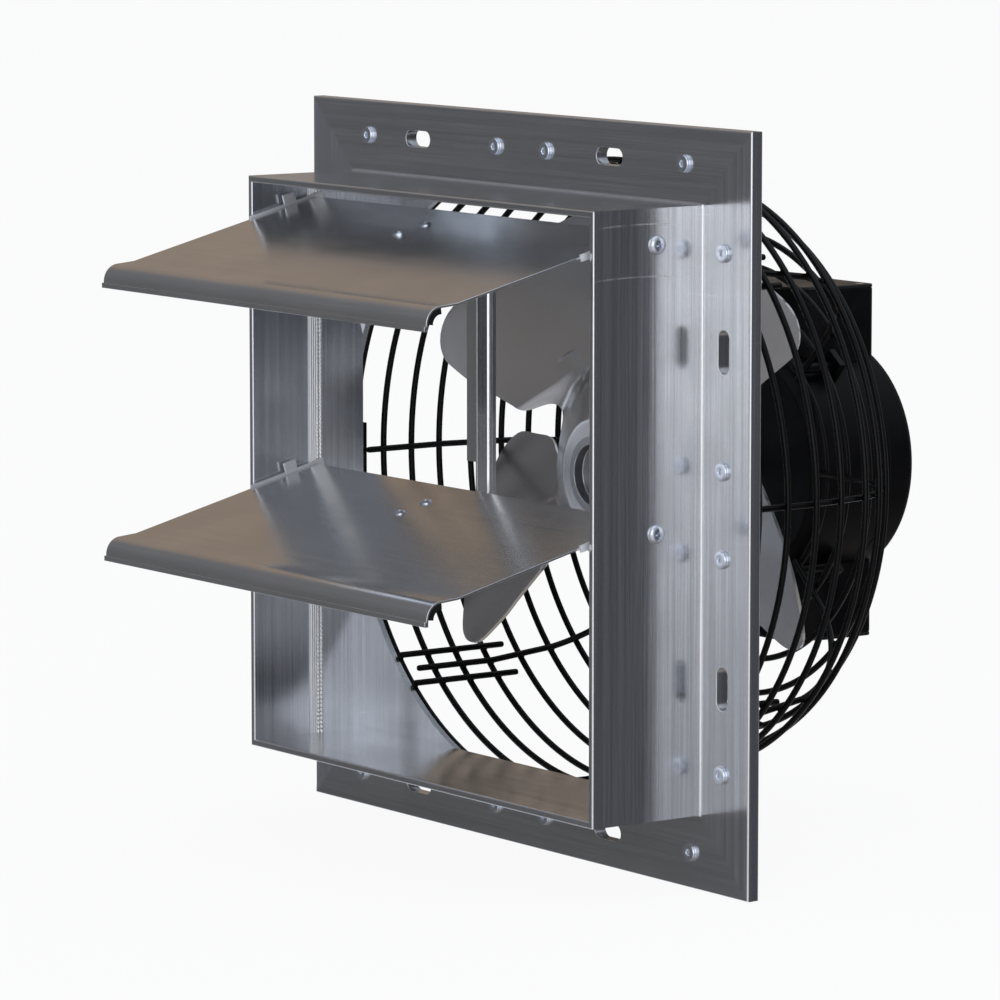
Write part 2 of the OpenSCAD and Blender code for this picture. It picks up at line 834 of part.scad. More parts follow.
module guard_rings() {
    color("black") {
        for (i = [0 : straight_rings - 1])
            guard_ring(guard_r, guard_y + guard_straight * i / (straight_rings - 1));
        for (i = [1 : taper_rings])
            guard_ring(guard_r - guard_taper_in * i / taper_rings,
                       taper_y + guard_taper * i / taper_rings);
        for (a = bend_ring_angles)
            guard_ring(bend_centre[0] + guard_bend_r * cos(a),
                       bend_centre[1] + guard_bend_r * sin(a));
        guard_ring(bend_centre[0] - (bend_centre[0] - inner_ring_r) * back_ring_share,
                   guard_back_y);
        guard_ring(inner_ring_r, guard_back_y);
    }
}

// Lengthwise wire inside the rings, drawn in X and Y as one closed skin along its path
module guard_rib() {
    r = guard_r - rib_in;
    taper_angle = atan(guard_taper_in / guard_taper);
    path = concat(
        [[r, stack_t + wire_d + clip_t + rib_start],
         [r, taper_y - rib_in * tan(taper_angle / 2)]],
        arc_points(bend_centre, rib_bend_r, bend_angle, 90, rib_bend_steps),
        [[inner_ring_r - wire_r, guard_back_y - rib_in]]
    );
    last = len(path) - 1;
    points = [
        for (i = [0 : last], j = [0 : rib_sides - 1])
            let (n = path_normal(path, i) * wire_r * cos(360 * j / rib_sides))
            [path[i][0] + n[0], path[i][1] + n[1], wire_r * sin(360 * j / rib_sides)]
    ];
    sides = [
        for (i = [0 : last - 1], j = [0 : rib_sides - 1])
            let (a = i * rib_sides + j, b = i * rib_sides + (j + 1) % rib_sides)
            each [[a, a + rib_sides, b + rib_sides], [a, b + rib_sides, b]]
    ];
    ends = [
        [for (j = [0 : rib_sides - 1]) j],
        [for (j = [rib_sides - 1 : -1 : 0]) last * rib_sides + j]
    ];
    polyhedron(points, concat(sides, ends));
}

module guard_ribs() {
    color("black")
        for (i = [0 : rib_count - 1]) rotate([0, i * 360 / rib_count, 0]) guard_rib();
}

// Pairs of short wires that tie the first rings together at the corners
module guard_stiffeners() {
    r = guard_r - rib_in;
    x = sqrt(r * r - stiffener_offset * stiffener_offset);
    color("black")
        for (a = [45 : 90 : 315], s = [-1, 1])
            rotate([0, -a, 0])
                wire([x, stack_t + seat_gap, s * stiffener_offset],
                     [x, stack_t + stiffener_len, s * stiffener_offset], wire_d);
}

// Places of the motor's four posts
post_places = [for (sx = [-1, 1], sz = [-1, 1]) [sx * post_circle[0], sz * post_circle[1]]];
post_y = guard_back_y + wire_r + seat_gap;
post_end = casing_y + lug_y;

module motor_posts() {
    color("black")
        for (p = post_places)
            translate([p[0], 0, p[1]]) difference() {
                bar_y(post_d / 2, post_y, post_end);
                bar_y(lug_screw_d / 2 + seat_gap, post_end - lug_screw_len, post_end + cut);
            }
}

// Lugs on the casing that the posts end on
module motor_lugs() {
    color("dimgray")
        for (p = post_places)
            difference() {
                rotate([0, -atan2(p[1], p[0]), 0])
                    translate([casing_nose_r, post_end, -lug_w / 2])
                        cube([inner_ring_r + lug_out - casing_nose_r, lug_t, lug_w]);
                bar_y(casing_r + seat_gap, post_end - cut, post_end + lug_t + cut);
                translate([p[0], 0, p[1]])
                    bar_y(lug_screw_d / 2 + hole_gap, post_end - cut, post_end + lug_t + cut);
            }
}

module post_screws() {
    color("silver")
        for (p = post_places)
            translate([p[0], 0, p[1]]) {
                bar_y(lug_screw_d / 2, post_end - lug_screw_len + cut, post_end + lug_t);
                translate([0, post_end + lug_t, 0])
                    rotate([-90, 0, 0]) dome(lug_screw_head_r, lug_screw_head_h);
            }
}

// Front shell of the motor, with a boss for the front bearing
module motor_casing() {
    nose = casing_y + casing_nose_h;
    boss_r = bearing_r + boss_t;
    color("black")
        turned([[bearing_r + seat_gap, casing_y], [casing_nose_r, casing_y],
                [casing_r, nose], [casing_r, cap_y], [casing_r - casing_t, cap_y],
                [casing_r - casing_t, nose + casing_t], [casing_nose_r - casing_t, casing_y + casing_t],
                [boss_r, casing_y + casing_t], [boss_r, casing_y + bearing_w],
                [bearing_r + seat_gap, casing_y + bearing_w]]);
}

// Rear cap of the motor, with a boss for the rear bearing
module motor_end_cap() {
    boss_r = bearing_r + boss_t;
    inner = casing_end - casing_t;
    color("black")
        turned(concat(
            [[0, casing_end]],
            arc_points([casing_r - cap_round, casing_end - cap_round], cap_round, 90, 0, cap_steps),
            [[casing_r, cap_y + seat_gap], [casing_r - casing_t, cap_y + seat_gap],
             [casing_r - casing_t, inner - cap_round], [casing_r - casing_t - cap_round, inner],
             [boss_r, inner], [boss_r, inner - bearing_w],
             [bearing_r + seat_gap, inner - bearing_w], [bearing_r + seat_gap, inner], [0, inner]]
        ));
}

module motor_bearings() {
    color("lightgray")
        for (from = [casing_y, casing_end - casing_t - bearing_w])
            difference() {
                bar_y(bearing_r, from, from + bearing_w - seat_gap);
                bar_y(shaft_d / 2 + running_gap, from - cut, from + bearing_w + cut);
            }
}

module motor_stator() {
    color("gray") difference() {
        bar_y(casing_r - casing_t - seat_gap, casing_y + stator_y, casing_y + stator_y + stator_len);
        bar_y(stator_in_r, casing_y, casing_end);
    }
}

// Plan of a side box: rounded corners towards the guard, tight ones at the back
module cover_plan(inset) {
    half = cover_w / 2 - inset;
    front = cover_y + inset;
    back = cover_y + cover_len - inset;
    front_r = cover_front_r - inset;
    back_r = cover_back_r - inset;
    translate([-half, front + front_r]) square([2 * half, back - back_r - front - front_r]);
    translate([-half + front_r, front]) square([2 * (half - front_r), front_r + cut]);
    translate([-half + back_r, back - back_r - cut]) square([2 * (half - back_r), back_r + cut]);
    for (s = [-1, 1]) {
        translate([s * (half - front_r), front + front_r]) circle(r = front_r);
        translate([s * (half - back_r), back - back_r]) circle(r = back_r);
    }
}

// Places of a lid's two screws
lid_screw_places = [for (s = [-1, 1]) [s * (cover_w / 2 - lid_screw_inset),
                                       cover_y + cover_len - lid_screw_inset]];

// Side box round its wiring, open to the drum and closed by a lid
module cover_box() {
    wall_top = cover_reach - lid_t - seat_gap;
    difference() {
        union() {
            difference() {
                linear_extrude(wall_top) cover_plan(0);
                translate([0, 0, -cut]) linear_extrude(cover_reach + cut) cover_plan(cover_t);
            }
            for (p = lid_screw_places)
                translate([p[0], p[1], wall_top - lid_boss_len])
                    cylinder(d = lid_screw_d + 2 * cover_t, h = lid_boss_len);
        }
        bar_y(casing_r + seat_gap, cover_y - cut, cover_y + cover_len + cut);
        translate([-cover_w, cover_y - cover_w, -cut])
            cube([2 * cover_w, cover_len + 2 * cover_w, casing_r / 2]);
        for (p = lid_screw_places)
            translate([p[0], p[1], wall_top - lid_boss_len - cut])
                cylinder(d = lid_screw_d + 2 * seat_gap, h = lid_boss_len + 2 * cut);
    }
}

module cover_lid() {
    difference() {
        translate([0, 0, cover_reach - lid_t]) linear_extrude(lid_t) cover_plan(0);
        for (p = lid_screw_places)
            translate([p[0], p[1], cover_reach - lid_t - cut])
                cylinder(d = lid_screw_d + 2 * seat_gap, h = lid_t + 2 * cut);
    }
}

// Turns a box's pieces to the underside of the motor
module underneath() {
    mirror([0, 0, 1]) children();
}

module capacitor_box() { color("black") cover_box(); }
module capacitor_box_lid() { color("dimgray") cover_lid(); }
module wiring_box_lid() { color("dimgray") underneath() cover_lid(); }

// Box under the motor, with the hole for the cable gland in its back
module wiring_box() {
    color("black") difference() {
        underneath() cover_box();
        translate([0, 0, -gland_drop])
            bar_y(gland_d / 2 + seat_gap, cover_y + cover_len - cover_t - cut, casing_end);
    }
}

// Can that rests on the drum inside the upper box
module run_capacitor() {
    color("silver")
        translate([-capacitor_len / 2, cover_y + cover_front_r + capacitor_r / 2,
                   casing_r + capacitor_r + seat_gap])
            rotate([0, 90, 0]) cylinder(r = capacitor_r, h = capacitor_len);
}

module lid_screws() {
    color("silver") for (m = [0, 1]) mirror([0, 0, m])
        for (p = lid_screw_places)
            translate([p[0], p[1], cover_reach - lid_boss_len])
                cylinder(d = lid_screw_d, h = lid_boss_len);
}

// Gland in the back of the lower box, where the supply cord goes in
module cable_gland() {
    back = cover_y + cover_len;
    color("black") translate([0, 0, -gland_drop]) difference() {
        union() {
            bar_y(gland_d / 2, back - cover_t - gland_flange_t, back + gland_len);
            bar_y(gland_flange_d / 2, back, back + gland_flange_t);
        }
        bar_y(gland_bore_d / 2, back - cover_t - gland_flange_t - cut, back + gland_len + cut);
    }
}

frame_top();
frame_bottom();
frame_left();
frame_right();
rear_plate();
corner_rivets();
clip_rivets();
guard_clips();
pivot_strip_left();
pivot_strip_right();
pivot_screws();
louvre_top();
louvre_seal_top();
pivot_ears_top();
tie_bracket_top();
bracket_rivets_top();
tie_pin_top();
louvre_bottom();
louvre_seal_bottom();
pivot_ears_bottom();
tie_bracket_bottom();
bracket_rivets_bottom();
tie_pin_bottom();
tie_bar();
fan_wheel();
fan_hub();
hub_set_screw();
motor_shaft();
rotor_core();
guard_rings();
guard_ribs();
guard_stiffeners();
motor_posts();
motor_lugs();
post_screws();
motor_casing();
motor_end_cap();
motor_bearings();
motor_stator();
capacitor_box();
capacitor_box_lid();
run_capacitor();
wiring_box();
wiring_box_lid();
lid_screws();
cable_gland();
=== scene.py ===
"""Dresses the gable mount shutter fan: finer pieces, materials, light and camera."""

import json
import math

import bmesh
import bpy
from mathutils import Matrix, Vector


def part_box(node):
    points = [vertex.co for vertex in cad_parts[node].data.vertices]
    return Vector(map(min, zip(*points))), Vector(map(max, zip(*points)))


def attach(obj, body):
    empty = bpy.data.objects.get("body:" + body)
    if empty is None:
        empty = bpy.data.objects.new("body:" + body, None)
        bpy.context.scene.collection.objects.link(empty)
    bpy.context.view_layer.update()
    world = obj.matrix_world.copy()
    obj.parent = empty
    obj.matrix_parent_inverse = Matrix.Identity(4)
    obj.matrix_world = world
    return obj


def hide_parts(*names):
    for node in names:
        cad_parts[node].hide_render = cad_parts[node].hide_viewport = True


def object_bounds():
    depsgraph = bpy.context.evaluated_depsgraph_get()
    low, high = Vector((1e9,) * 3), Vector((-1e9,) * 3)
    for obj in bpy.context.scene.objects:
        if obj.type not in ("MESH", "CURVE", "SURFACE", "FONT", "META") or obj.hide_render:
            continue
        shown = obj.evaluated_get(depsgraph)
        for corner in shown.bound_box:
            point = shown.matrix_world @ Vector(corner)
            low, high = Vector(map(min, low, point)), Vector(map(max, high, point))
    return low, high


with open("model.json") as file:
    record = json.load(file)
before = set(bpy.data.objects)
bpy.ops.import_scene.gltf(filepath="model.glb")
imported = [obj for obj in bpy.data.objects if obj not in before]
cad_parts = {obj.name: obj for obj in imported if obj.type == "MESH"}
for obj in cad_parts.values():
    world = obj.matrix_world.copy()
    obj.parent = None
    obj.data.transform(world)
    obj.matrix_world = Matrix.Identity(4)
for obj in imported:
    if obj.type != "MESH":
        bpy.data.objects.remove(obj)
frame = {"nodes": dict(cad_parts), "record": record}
cad_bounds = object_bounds()
NODES = frame["nodes"]
BODY_OF = {n: b for b, names in frame["record"]["behaviour"]["bodies"].items() for n in names}
SLOT_OF = {part["node"]: part["material_slot"] for part in frame["record"]["subparts"]}

MM = 0.001
# Directions of the grain
ACROSS = (1, 0, 0)
UPRIGHT = (0, 0, 1)


# Materials

class NodeTree:
    """Short ways to add nodes to a material or to the world."""

    def __init__(self, owner):
        owner.use_nodes = True
        self.tree = owner.node_tree

    def fill(self, target, value):
        """Sets a value on a node's input, or links another node's output to it."""
        if isinstance(value, bpy.types.NodeSocket):
            self.tree.links.new(value, target)
        else:
            target.default_value = value

    def node(self, kind, inputs, **settings):
        """Adds a node, with its settings and its inputs by name or number."""
        made = self.tree.nodes.new(kind)
        for key, value in settings.items():
            setattr(made, key, value)
        for key, value in inputs.items():
            self.fill(made.inputs[key], value)
        return made

    def blend(self, share, a, b):
        """Colour between a and b."""
        ends = [(*c, 1) if isinstance(c, tuple) else c for c in (a, b)]
        return self.node("ShaderNodeMix", {0: share, 6: ends[0], 7: ends[1]}, data_type="RGBA").outputs[2]


class Look(NodeTree):
    """A Principled material with texture nodes in the piece's own coordinates."""

    def __init__(self, name, color, roughness, metallic=0.0):
        self.material = bpy.data.materials.new(name)
        super().__init__(self.material)
        self.shader = self.tree.nodes["Principled BSDF"]
        self.coords = self.tree.nodes.new("ShaderNodeTexCoord").outputs["Object"]
        self.set("Base Color", (*color, 1))
        self.set("Roughness", roughness)
        self.set("Metallic", metallic)

    def set(self, socket, value):
        """Sets a value, or links another node's output, on the shader."""
        self.fill(self.shader.inputs[socket], value)

    def noise(self, size, detail=3.0, turn=(0, 0, 0), roughness=0.5):
        """Noise whose blobs measure size, in metres along X, Y and Z."""
        place = self.node("ShaderNodeMapping", {
            "Vector": self.coords, "Rotation": turn, "Scale": tuple(1 / s for s in size)})
        return self.node("ShaderNodeTexNoise", {
            "Vector": place.outputs[0], "Scale": 1.0, "Detail": detail, "Roughness": roughness}).outputs[0]

    def span(self, value, low, high, start=0.0, end=1.0):
        """Maps low to start and high to end, smoothly and within those two."""
        return self.node("ShaderNodeMapRange", {
            0: value, 1: low, 2: high, 3: start, 4: end}, interpolation_type="SMOOTHSTEP").outputs[0]

    def sum(self, a, b, kind="ADD"):
        """Adds two values, or joins them by another kind of sum."""
        return self.node("ShaderNodeMath", {0: a, 1: b}, operation=kind).outputs[0]

    def bump(self, height, depth, under=None):
        """Surface relief of a depth in metres, over another relief if given."""
        inputs = {"Height": height, "Distance": depth, "Strength": 1.0}
        if under is not None:
            inputs["Normal"] = under
        return self.node("ShaderNodeBump", inputs).outputs[0]

    def grain_tangent(self, axis):
        """Points the stretched highlights across a grain that runs along the axis."""
        direction = self.node("ShaderNodeCombineXYZ", dict(enumerate(map(float, axis))))
        self.set("Tangent", direction.outputs[0])
        self.set("Anisotropic Rotation", 0.25)


def shade(color, factor):
    """A colour made lighter or darker."""
    return tuple(c * factor for c in color)


def rub_marks(look, tops):
    """Pale shallow arcs that something has rubbed on a side wall, by the place of each arc's top."""
    sag, half_width, half_length, full_share = 1.3, 0.0008, 0.032, 0.6
    patch_size, strength = 0.012, 0.3
    parts = look.node("ShaderNodeSeparateXYZ", {0: look.coords})
    total = 0.0
    for y, z in tops:
        aside = look.sum(parts.outputs[1], y, "SUBTRACT")
        drop = look.sum(look.sum(aside, aside, "MULTIPLY"), sag, "MULTIPLY")
        off = look.sum(look.sum(parts.outputs[2], z, "SUBTRACT"), drop)
        near = look.span(look.sum(off, 0.0, "ABSOLUTE"), 0.0, half_width, 1.0, 0.0)
        reach = look.sum(aside, 0.0, "ABSOLUTE")
        along = look.span(reach, half_length * full_share, half_length, 1.0, 0.0)
        total = look.sum(look.sum(near, along, "MULTIPLY"), total)
    patches = look.span(look.noise((patch_size,) * 3, detail=2), 0.2, 0.6, 0.0, strength)
    return look.sum(total, patches, "MULTIPLY")


def grained(name, color, axis, roughness, contrast=0.1, depth=3e-6, marks=0.5, rubs=()):
    """Metal with a grain along an axis, blotches, and a few fine scratches across it."""
    metal, stretch = 0.92, 0.35
    fibre_length, fibre_width = 0.12, 0.0006
    streak_length, streak_width = 0.4, 0.004
    scratch_length, scratch_width = 0.05, 0.0007
    cloud_size, patch_size = 0.05, 0.03
    worn = shade(color, 1.4)
    look = Look(name, color, roughness, metal)

    def along(length, width):
        return tuple(length if a else width for a in axis)

    fibre = look.noise(along(fibre_length, fibre_width), detail=4)
    streak = look.noise(along(streak_length, streak_width), detail=3)
    cloud = look.noise((cloud_size,) * 3, detail=3)
    scratch_size = along(scratch_width, scratch_length)
    scratch = look.span(look.noise(scratch_size, detail=1, turn=(0.12, 0.35, 0.2)), 0.72, 0.78)
    patch = look.span(look.noise((patch_size,) * 3, detail=1), 0.52, 0.66)
    marked = look.sum(look.sum(scratch, patch, "MULTIPLY"), marks, "MULTIPLY")
    tone = look.sum(look.sum(fibre, 0.45, "MULTIPLY"), look.sum(streak, 0.55, "MULTIPLY"))
    base = look.blend(look.span(tone, 0.35, 0.65), shade(color, 1 - contrast), shade(color, 1 + contrast))
    base = look.blend(look.span(cloud, 0.3, 0.7), base, look.blend(0.5, base, shade(color, 0.85)))
    base = look.blend(marked, base, worn)
    rubbed = rub_marks(look, rubs) if rubs else 0.0
    look.set("Base Color", look.blend(rubbed, base, worn))
    rough = look.sum(look.span(fibre, 0.3, 0.7, -0.03, 0.04), look.span(cloud, 0.3, 0.7, -0.02, 0.03))
    rough = look.sum(look.sum(rough, roughness), look.sum(marked, 0.08, "MULTIPLY"))
    look.set("Roughness", look.sum(rough, look.sum(rubbed, 0.35, "MULTIPLY")))
    look.set("Metallic", look.sum(metal, look.sum(rubbed, 0.5, "MULTIPLY"), "SUBTRACT"))
    relief = look.bump(streak, depth * 3)
    relief = look.bump(fibre, depth, relief)
    look.set("Normal", look.bump(scratch, depth * marks, relief))
    look.set("Anisotropic", stretch)
    look.grain_tangent(axis)
    return look.material


def satin(name, color, roughness, metallic=0.95, mottle=0.012):
    """Smooth rolled, plated or machined metal with a faint mottle."""
    depth = 2e-6
    look = Look(name, color, roughness, metallic)
    cloud = look.noise((mottle * 4,) * 3, detail=3)
    speck = look.noise((mottle / 12,) * 3, detail=3)
    base = look.blend(look.span(cloud, 0.25, 0.75), shade(color, 0.95), shade(color, 1.05))
    look.set("Base Color", look.blend(look.span(speck, 0.4, 0.8), base, shade(color, 1.08)))
    look.set("Roughness", look.sum(look.span(cloud, 0.25, 0.75, -0.02, 0.03), roughness))
    look.set("Normal", look.bump(speck, depth))
    return look.material


def painted(name, color, roughness, peel=0.0011, depth=2.2e-5, gloss=0.3):
    """Paint or coating with a fine orange peel, dust and rubbed spots."""
    look = Look(name, color, roughness)
    skin = look.noise((peel,) * 3, detail=2)
    dust = look.noise((0.03,) * 3, detail=5, roughness=0.65)
    rubbed = look.span(look.noise((0.009,) * 3, detail=4), 0.62, 0.75)
    look.set("Base Color", look.blend(look.span(dust, 0.42, 0.75, 0.0, 0.5), color, shade(color, 2.4)))
    rough = look.sum(look.span(dust, 0.35, 0.7, -0.06, 0.1), look.sum(rubbed, -0.08, "MULTIPLY"))
    look.set("Roughness", look.sum(rough, roughness))
    look.set("Normal", look.bump(skin, depth))
    look.set("Specular IOR Level", gloss)
    return look.material


def banded(name, color, pitch, roughness):
    """Stacked sheet steel: thin bands along the shaft."""
    look = Look(name, color, roughness, 1.0)
    bands = look.noise((0.5, pitch, 0.5), detail=1)
    rust = look.noise((0.01,) * 3, detail=4)
    base = look.blend(look.span(bands, 0.4, 0.6), shade(color, 0.6), shade(color, 1.2))
    look.set("Base Color", look.blend(look.span(rust, 0.55, 0.75), base, (0.16, 0.10, 0.06)))
    look.set("Roughness", look.span(bands, 0.3, 0.7, roughness - 0.08, roughness + 0.12))
    look.set("Normal", look.bump(bands, 8e-5))
    return look.material


MILL = (0.66, 0.67, 0.69)
ROLLED = (0.73, 0.73, 0.74)
materials = {
    # The left wall's lighter, bluer copy of the mill aluminium is a painted reflection
    "mill_left_painted_reflection": grained("mill_aluminium_left_painted_reflection", (0.75, 0.78, 0.83), UPRIGHT, 0.2, contrast=0.14),
    "mill_right": grained("mill_aluminium_right", MILL, UPRIGHT, 0.17, contrast=0.2,
                          rubs=[(-0.040, 0.152), (-0.042, 0.125)]),
    "mill_across": grained("mill_aluminium_across", MILL, ACROSS, 0.17, contrast=0.16),
    # Much lighter metal for rounded edges, the wheel's rim and the hub's edges: a painted highlight
    "painted_highlight_edge": satin("mill_aluminium_painted_highlight_edge", (0.96, 0.96, 0.98), 0.22),
    # The rear plate's darker copy of the mill aluminium is painted shade
    "plate": grained("rear_plate_aluminium_painted_shade", shade(MILL, 0.88), UPRIGHT, 0.2),
    "louvre": grained("louvre_aluminium", ROLLED, ACROSS, 0.2, contrast=0.04, depth=5e-7, marks=0.1),
    "louvre_edge": satin("louvre_aluminium_edge", (0.75, 0.75, 0.77), 0.25),
    "tie": grained("tie_bar_aluminium", ROLLED, UPRIGHT, 0.2, contrast=0.05, depth=8e-7, marks=0.2),
    "fan": satin("fan_aluminium", (0.60, 0.60, 0.61), 0.24),
    "zinc": satin("zinc_plate", (0.76, 0.80, 0.88), 0.2, mottle=0.004),
    "bright": satin("bright_steel", (0.90, 0.91, 0.94), 0.2, mottle=0.01),
    "strip": satin("strip_aluminium", (0.97, 0.98, 0.99), 0.32, metallic=0.6, mottle=0.01),
    "ear": satin("ear_steel", (0.94, 0.95, 0.97), 0.3, metallic=0.35, mottle=0.01),
    "seal": painted("seal_rubber", (0.008, 0.008, 0.008), 0.62, peel=0.0006),
    "guard": painted("guard_coating", (0.003, 0.003, 0.003), 0.3, peel=0.0018, depth=1.5e-5, gloss=0.2),
    "motor": painted("motor_paint", (0.004, 0.004, 0.0045), 0.42, gloss=0.12),
    "lid": painted("lid_paint", (0.012, 0.012, 0.012), 0.36),
    "hub": satin("hub_steel", (0.42, 0.43, 0.45), 0.3, mottle=0.006),
    "core": banded("core_steel", (0.32, 0.31, 0.30), 0.0008, 0.4),
    "can": satin("capacitor_can", (0.85, 0.85, 0.86), 0.3),
    "gland": painted("gland_plastic", (0.018, 0.018, 0.018), 0.5, peel=0.0004, depth=1e-5),
}


# Building blocks for meshes

def skin(shape, rows, closed=False, looped=False):
    """Faces between rows of vertices.

    Closed joins each row's ends, and looped joins the last row to the first.
    """
    count = len(rows[0])
    pairs = list(zip(rows, rows[1:] + ([rows[0]] if looped else [])))
    for near, far in pairs:
        for j in range(count if closed else count - 1):
            after = (j + 1) % count
            shape.faces.new((near[j], near[after], far[after], far[j]))


def filled(shape, rows):
    """Closed form through rows of vertices, with its two ends filled."""
    skin(shape, rows, closed=True)
    shape.faces.new(rows[0])
    shape.faces.new(reversed(rows[-1]))


def smooth(mesh, sharp_angle):
    """Smooth shading that breaks at edges sharper than an angle in degrees."""
    mesh.shade_smooth()
    mesh.set_sharp_from_angle(angle=math.radians(sharp_angle))


def finished_mesh(name, shape, sharp_angle=40):
    """Turns a bmesh into a smooth-shaded mesh with its faces turned outwards."""
    bmesh.ops.recalc_face_normals(shape, faces=shape.faces)
    mesh = bpy.data.meshes.new(name)
    shape.to_mesh(mesh)
    shape.free()
    smooth(mesh, sharp_angle)
    return mesh


def circle_rows(shape, centres, radii, frames, sides):
    """Rings of vertices round centres, each with its own radius and pair of directions."""
    rows = []
    for centre, radius, (first, second) in zip(centres, radii, frames):
        row = []
        for j in range(sides):
            angle = 2 * math.pi * j / sides
            offset = first * math.cos(angle) + second * math.sin(angle)
            row.append(shape.verts.new((centre + offset * radius) * MM))
        rows.append(row)
    return rows


def tube(shape, points, radius, side, sides=14, looped=False):
    """Round wire along points. Side is a direction square to its whole path.

    An open end has a chamfered rim with a small hollow in it.
    """
    rim_steps, rim_share, hollow_share = 3, 0.6, 0.3
    points = [Vector(p) for p in points]
    side = Vector(side)
    count = len(points)
    tangents = []
    for i in range(count):
        before = points[i - 1] if looped or i > 0 else points[i]
        after = points[(i + 1) % count] if looped or i < count - 1 else points[i]
        tangents.append((after - before).normalized())
    centres, radii, frames = [], [], []

    def add(centre, ring_radius, tangent):
        centres.append(centre)
        radii.append(ring_radius)
        frames.append((side, tangent.cross(side)))

    end_rings = []
    for k in range(rim_steps):
        angle = math.pi / 2 * k / rim_steps
        inset = radius * rim_share * (1 - math.sin(angle))
        end_rings.append((inset, max(radius * math.sin(angle), radius * hollow_share)))
    along = list(zip(points, tangents))
    if not looped:
        for inset, ring_radius in end_rings:
            add(points[0] + tangents[0] * inset, ring_radius, tangents[0])
        add(points[0] + tangents[0] * radius * rim_share, radius, tangents[0])
        along = along[1:-1]
    for point, tangent in along:
        add(point, radius, tangent)
    if not looped:
        add(points[-1] - tangents[-1] * radius * rim_share, radius, tangents[-1])
        for inset, ring_radius in reversed(end_rings):
            add(points[-1] - tangents[-1] * inset, ring_radius, tangents[-1])
    rows = circle_rows(shape, centres, radii, frames, sides)
    if looped:
        skin(shape, rows, closed=True, looped=True)
    else:
        filled(shape, rows)


def lathe(shape, profile, origin, axis, sides=28):
    """Turned form: profile holds radius and height along the axis from an origin, in millimetres."""
    smallest = 0.01
    axis = Vector(axis).normalized()
    first = axis.orthogonal().normalized()
    frame_of = (first, axis.cross(first))
    origin = Vector(origin)
    centres = [origin + axis * height for radius, height in profile]
    radii = [max(radius, smallest) for radius, height in profile]
    filled(shape, circle_rows(shape, centres, radii, [frame_of] * len(profile), sides))


# Pieces

def new_piece(name, mesh, looks, body, replaced=()):
    """A visible piece that rides on a body and stands for the nodes it replaces."""
    piece = bpy.data.objects.new(name, mesh)
    bpy.context.scene.collection.objects.link(piece)
    for look in looks:
        mesh.materials.append(materials[look])
    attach(piece, body)
    if replaced:
        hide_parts(*replaced)
    return piece


def drawn_piece(shape, node, ending, look, sharp_angle):
    """Makes a drawn shape the piece that stands for a node."""
    name = node + ending
    mesh = finished_mesh(name, shape, sharp_angle)
    return new_piece(name, mesh, [look], BODY_OF[node], [node])


def even_normals(piece):
    """Keeps large flats flat beside their rounded edges."""
    modifier = piece.modifiers.new("even_normals", "WEIGHTED_NORMAL")
    modifier.keep_sharp = True
    modifier.weight = 100


def softened(node, look, edge_look, width, sharp=32, segments=2, rule=None, added=None):
    """The node's own shape with its edges rounded, and the edge look on the rounding; the rounding catches
    real highlights, and where the edge look is the light edge metal, that is a painted highlight.

    Width is in millimetres. A rule may give a smaller share of it to an edge by its two ends.
    Added draws more of the piece into the same mesh.
    """
    same_place, flat_angle = 2e-6, math.radians(1.5)
    shape = bmesh.new()
    shape.from_mesh(NODES[node].data)
    bmesh.ops.remove_doubles(shape, verts=shape.verts, dist=same_place)
    bmesh.ops.dissolve_limit(shape, angle_limit=flat_angle, verts=shape.verts, edges=shape.edges)
    weights = shape.edges.layers.float.new("bevel_weight_edge")
    for face in shape.faces:
        face.material_index = 0
    for edge in shape.edges:
        if len(edge.link_faces) == 2 and edge.calc_face_angle() > math.radians(sharp):
            ends = [v.co / MM for v in edge.verts]
            edge[weights] = rule(*ends) if rule else 1.0
    if added:
        added(shape)
    mesh = bpy.data.meshes.new(node + "_rounded")
    shape.to_mesh(mesh)
    shape.free()
    smooth(mesh, 50)
    piece = new_piece(node + "_rounded", mesh, [look, edge_look], BODY_OF[node], [node])
    rounding = piece.modifiers.new("rounding", "BEVEL")
    rounding.width = width * MM
    rounding.segments = segments
    rounding.limit_method = "WEIGHT"
    rounding.material = 1
    rounding.use_clamp_overlap = False
    even_normals(piece)
    return piece


def frame_edge(a, b):
    """Rounding widest at the profile's bend, little at holes, none at hidden or mitred edges."""
    wall, bend_width, bend_depth = 160, 0.6, 0.2
    mitre_width, hidden_y, hole_edge = 0.05, 3.5, 60
    middle = (a + b) / 2
    at_wall = abs(max(abs(middle.x), abs(middle.z)) - wall) < bend_width
    mitred = abs(abs(middle.x) - abs(middle.z)) < mitre_width
    hidden = min(a.y, b.y) > hidden_y
    if mitred or hidden:
        return 0.0
    if (b - a).length < hole_edge:
        return 0.2
    return 1.0 if at_wall and abs(middle.y) < bend_depth else 0.65


def plate_edge(a, b):
    """The plate's rim is rounded at the back, its holes a little, and its hidden front not at all."""
    front_y, rim_edge = 3.7, 300
    if max(a.y, b.y) < front_y:
        return 0.0
    return 1.0 if (b - a).length > rim_edge else 0.3


def frame_pieces():
    wall_rounding, plate_rounding = 1.2, 0.5
    for node, look in (("frame_top", "mill_across"), ("frame_bottom", "mill_across"),
                       ("frame_left", "mill_left_painted_reflection"), ("frame_right", "mill_right")):
        softened(node, look, "painted_highlight_edge", wall_rounding, segments=3, rule=frame_edge)
    softened("rear_plate", "plate", "painted_highlight_edge", plate_rounding, rule=plate_edge)


def tie_edge(a, b):
    """The bar's bend is rounded a little, its other edges not at all."""
    bend_x, bend_y, reach = -3.2, -27.06, 0.1
    at_bend = all(abs(p.x - bend_x) < reach and abs(p.y - bend_y) < reach for p in (a, b))
    return 0.25 if at_bend else 0.0


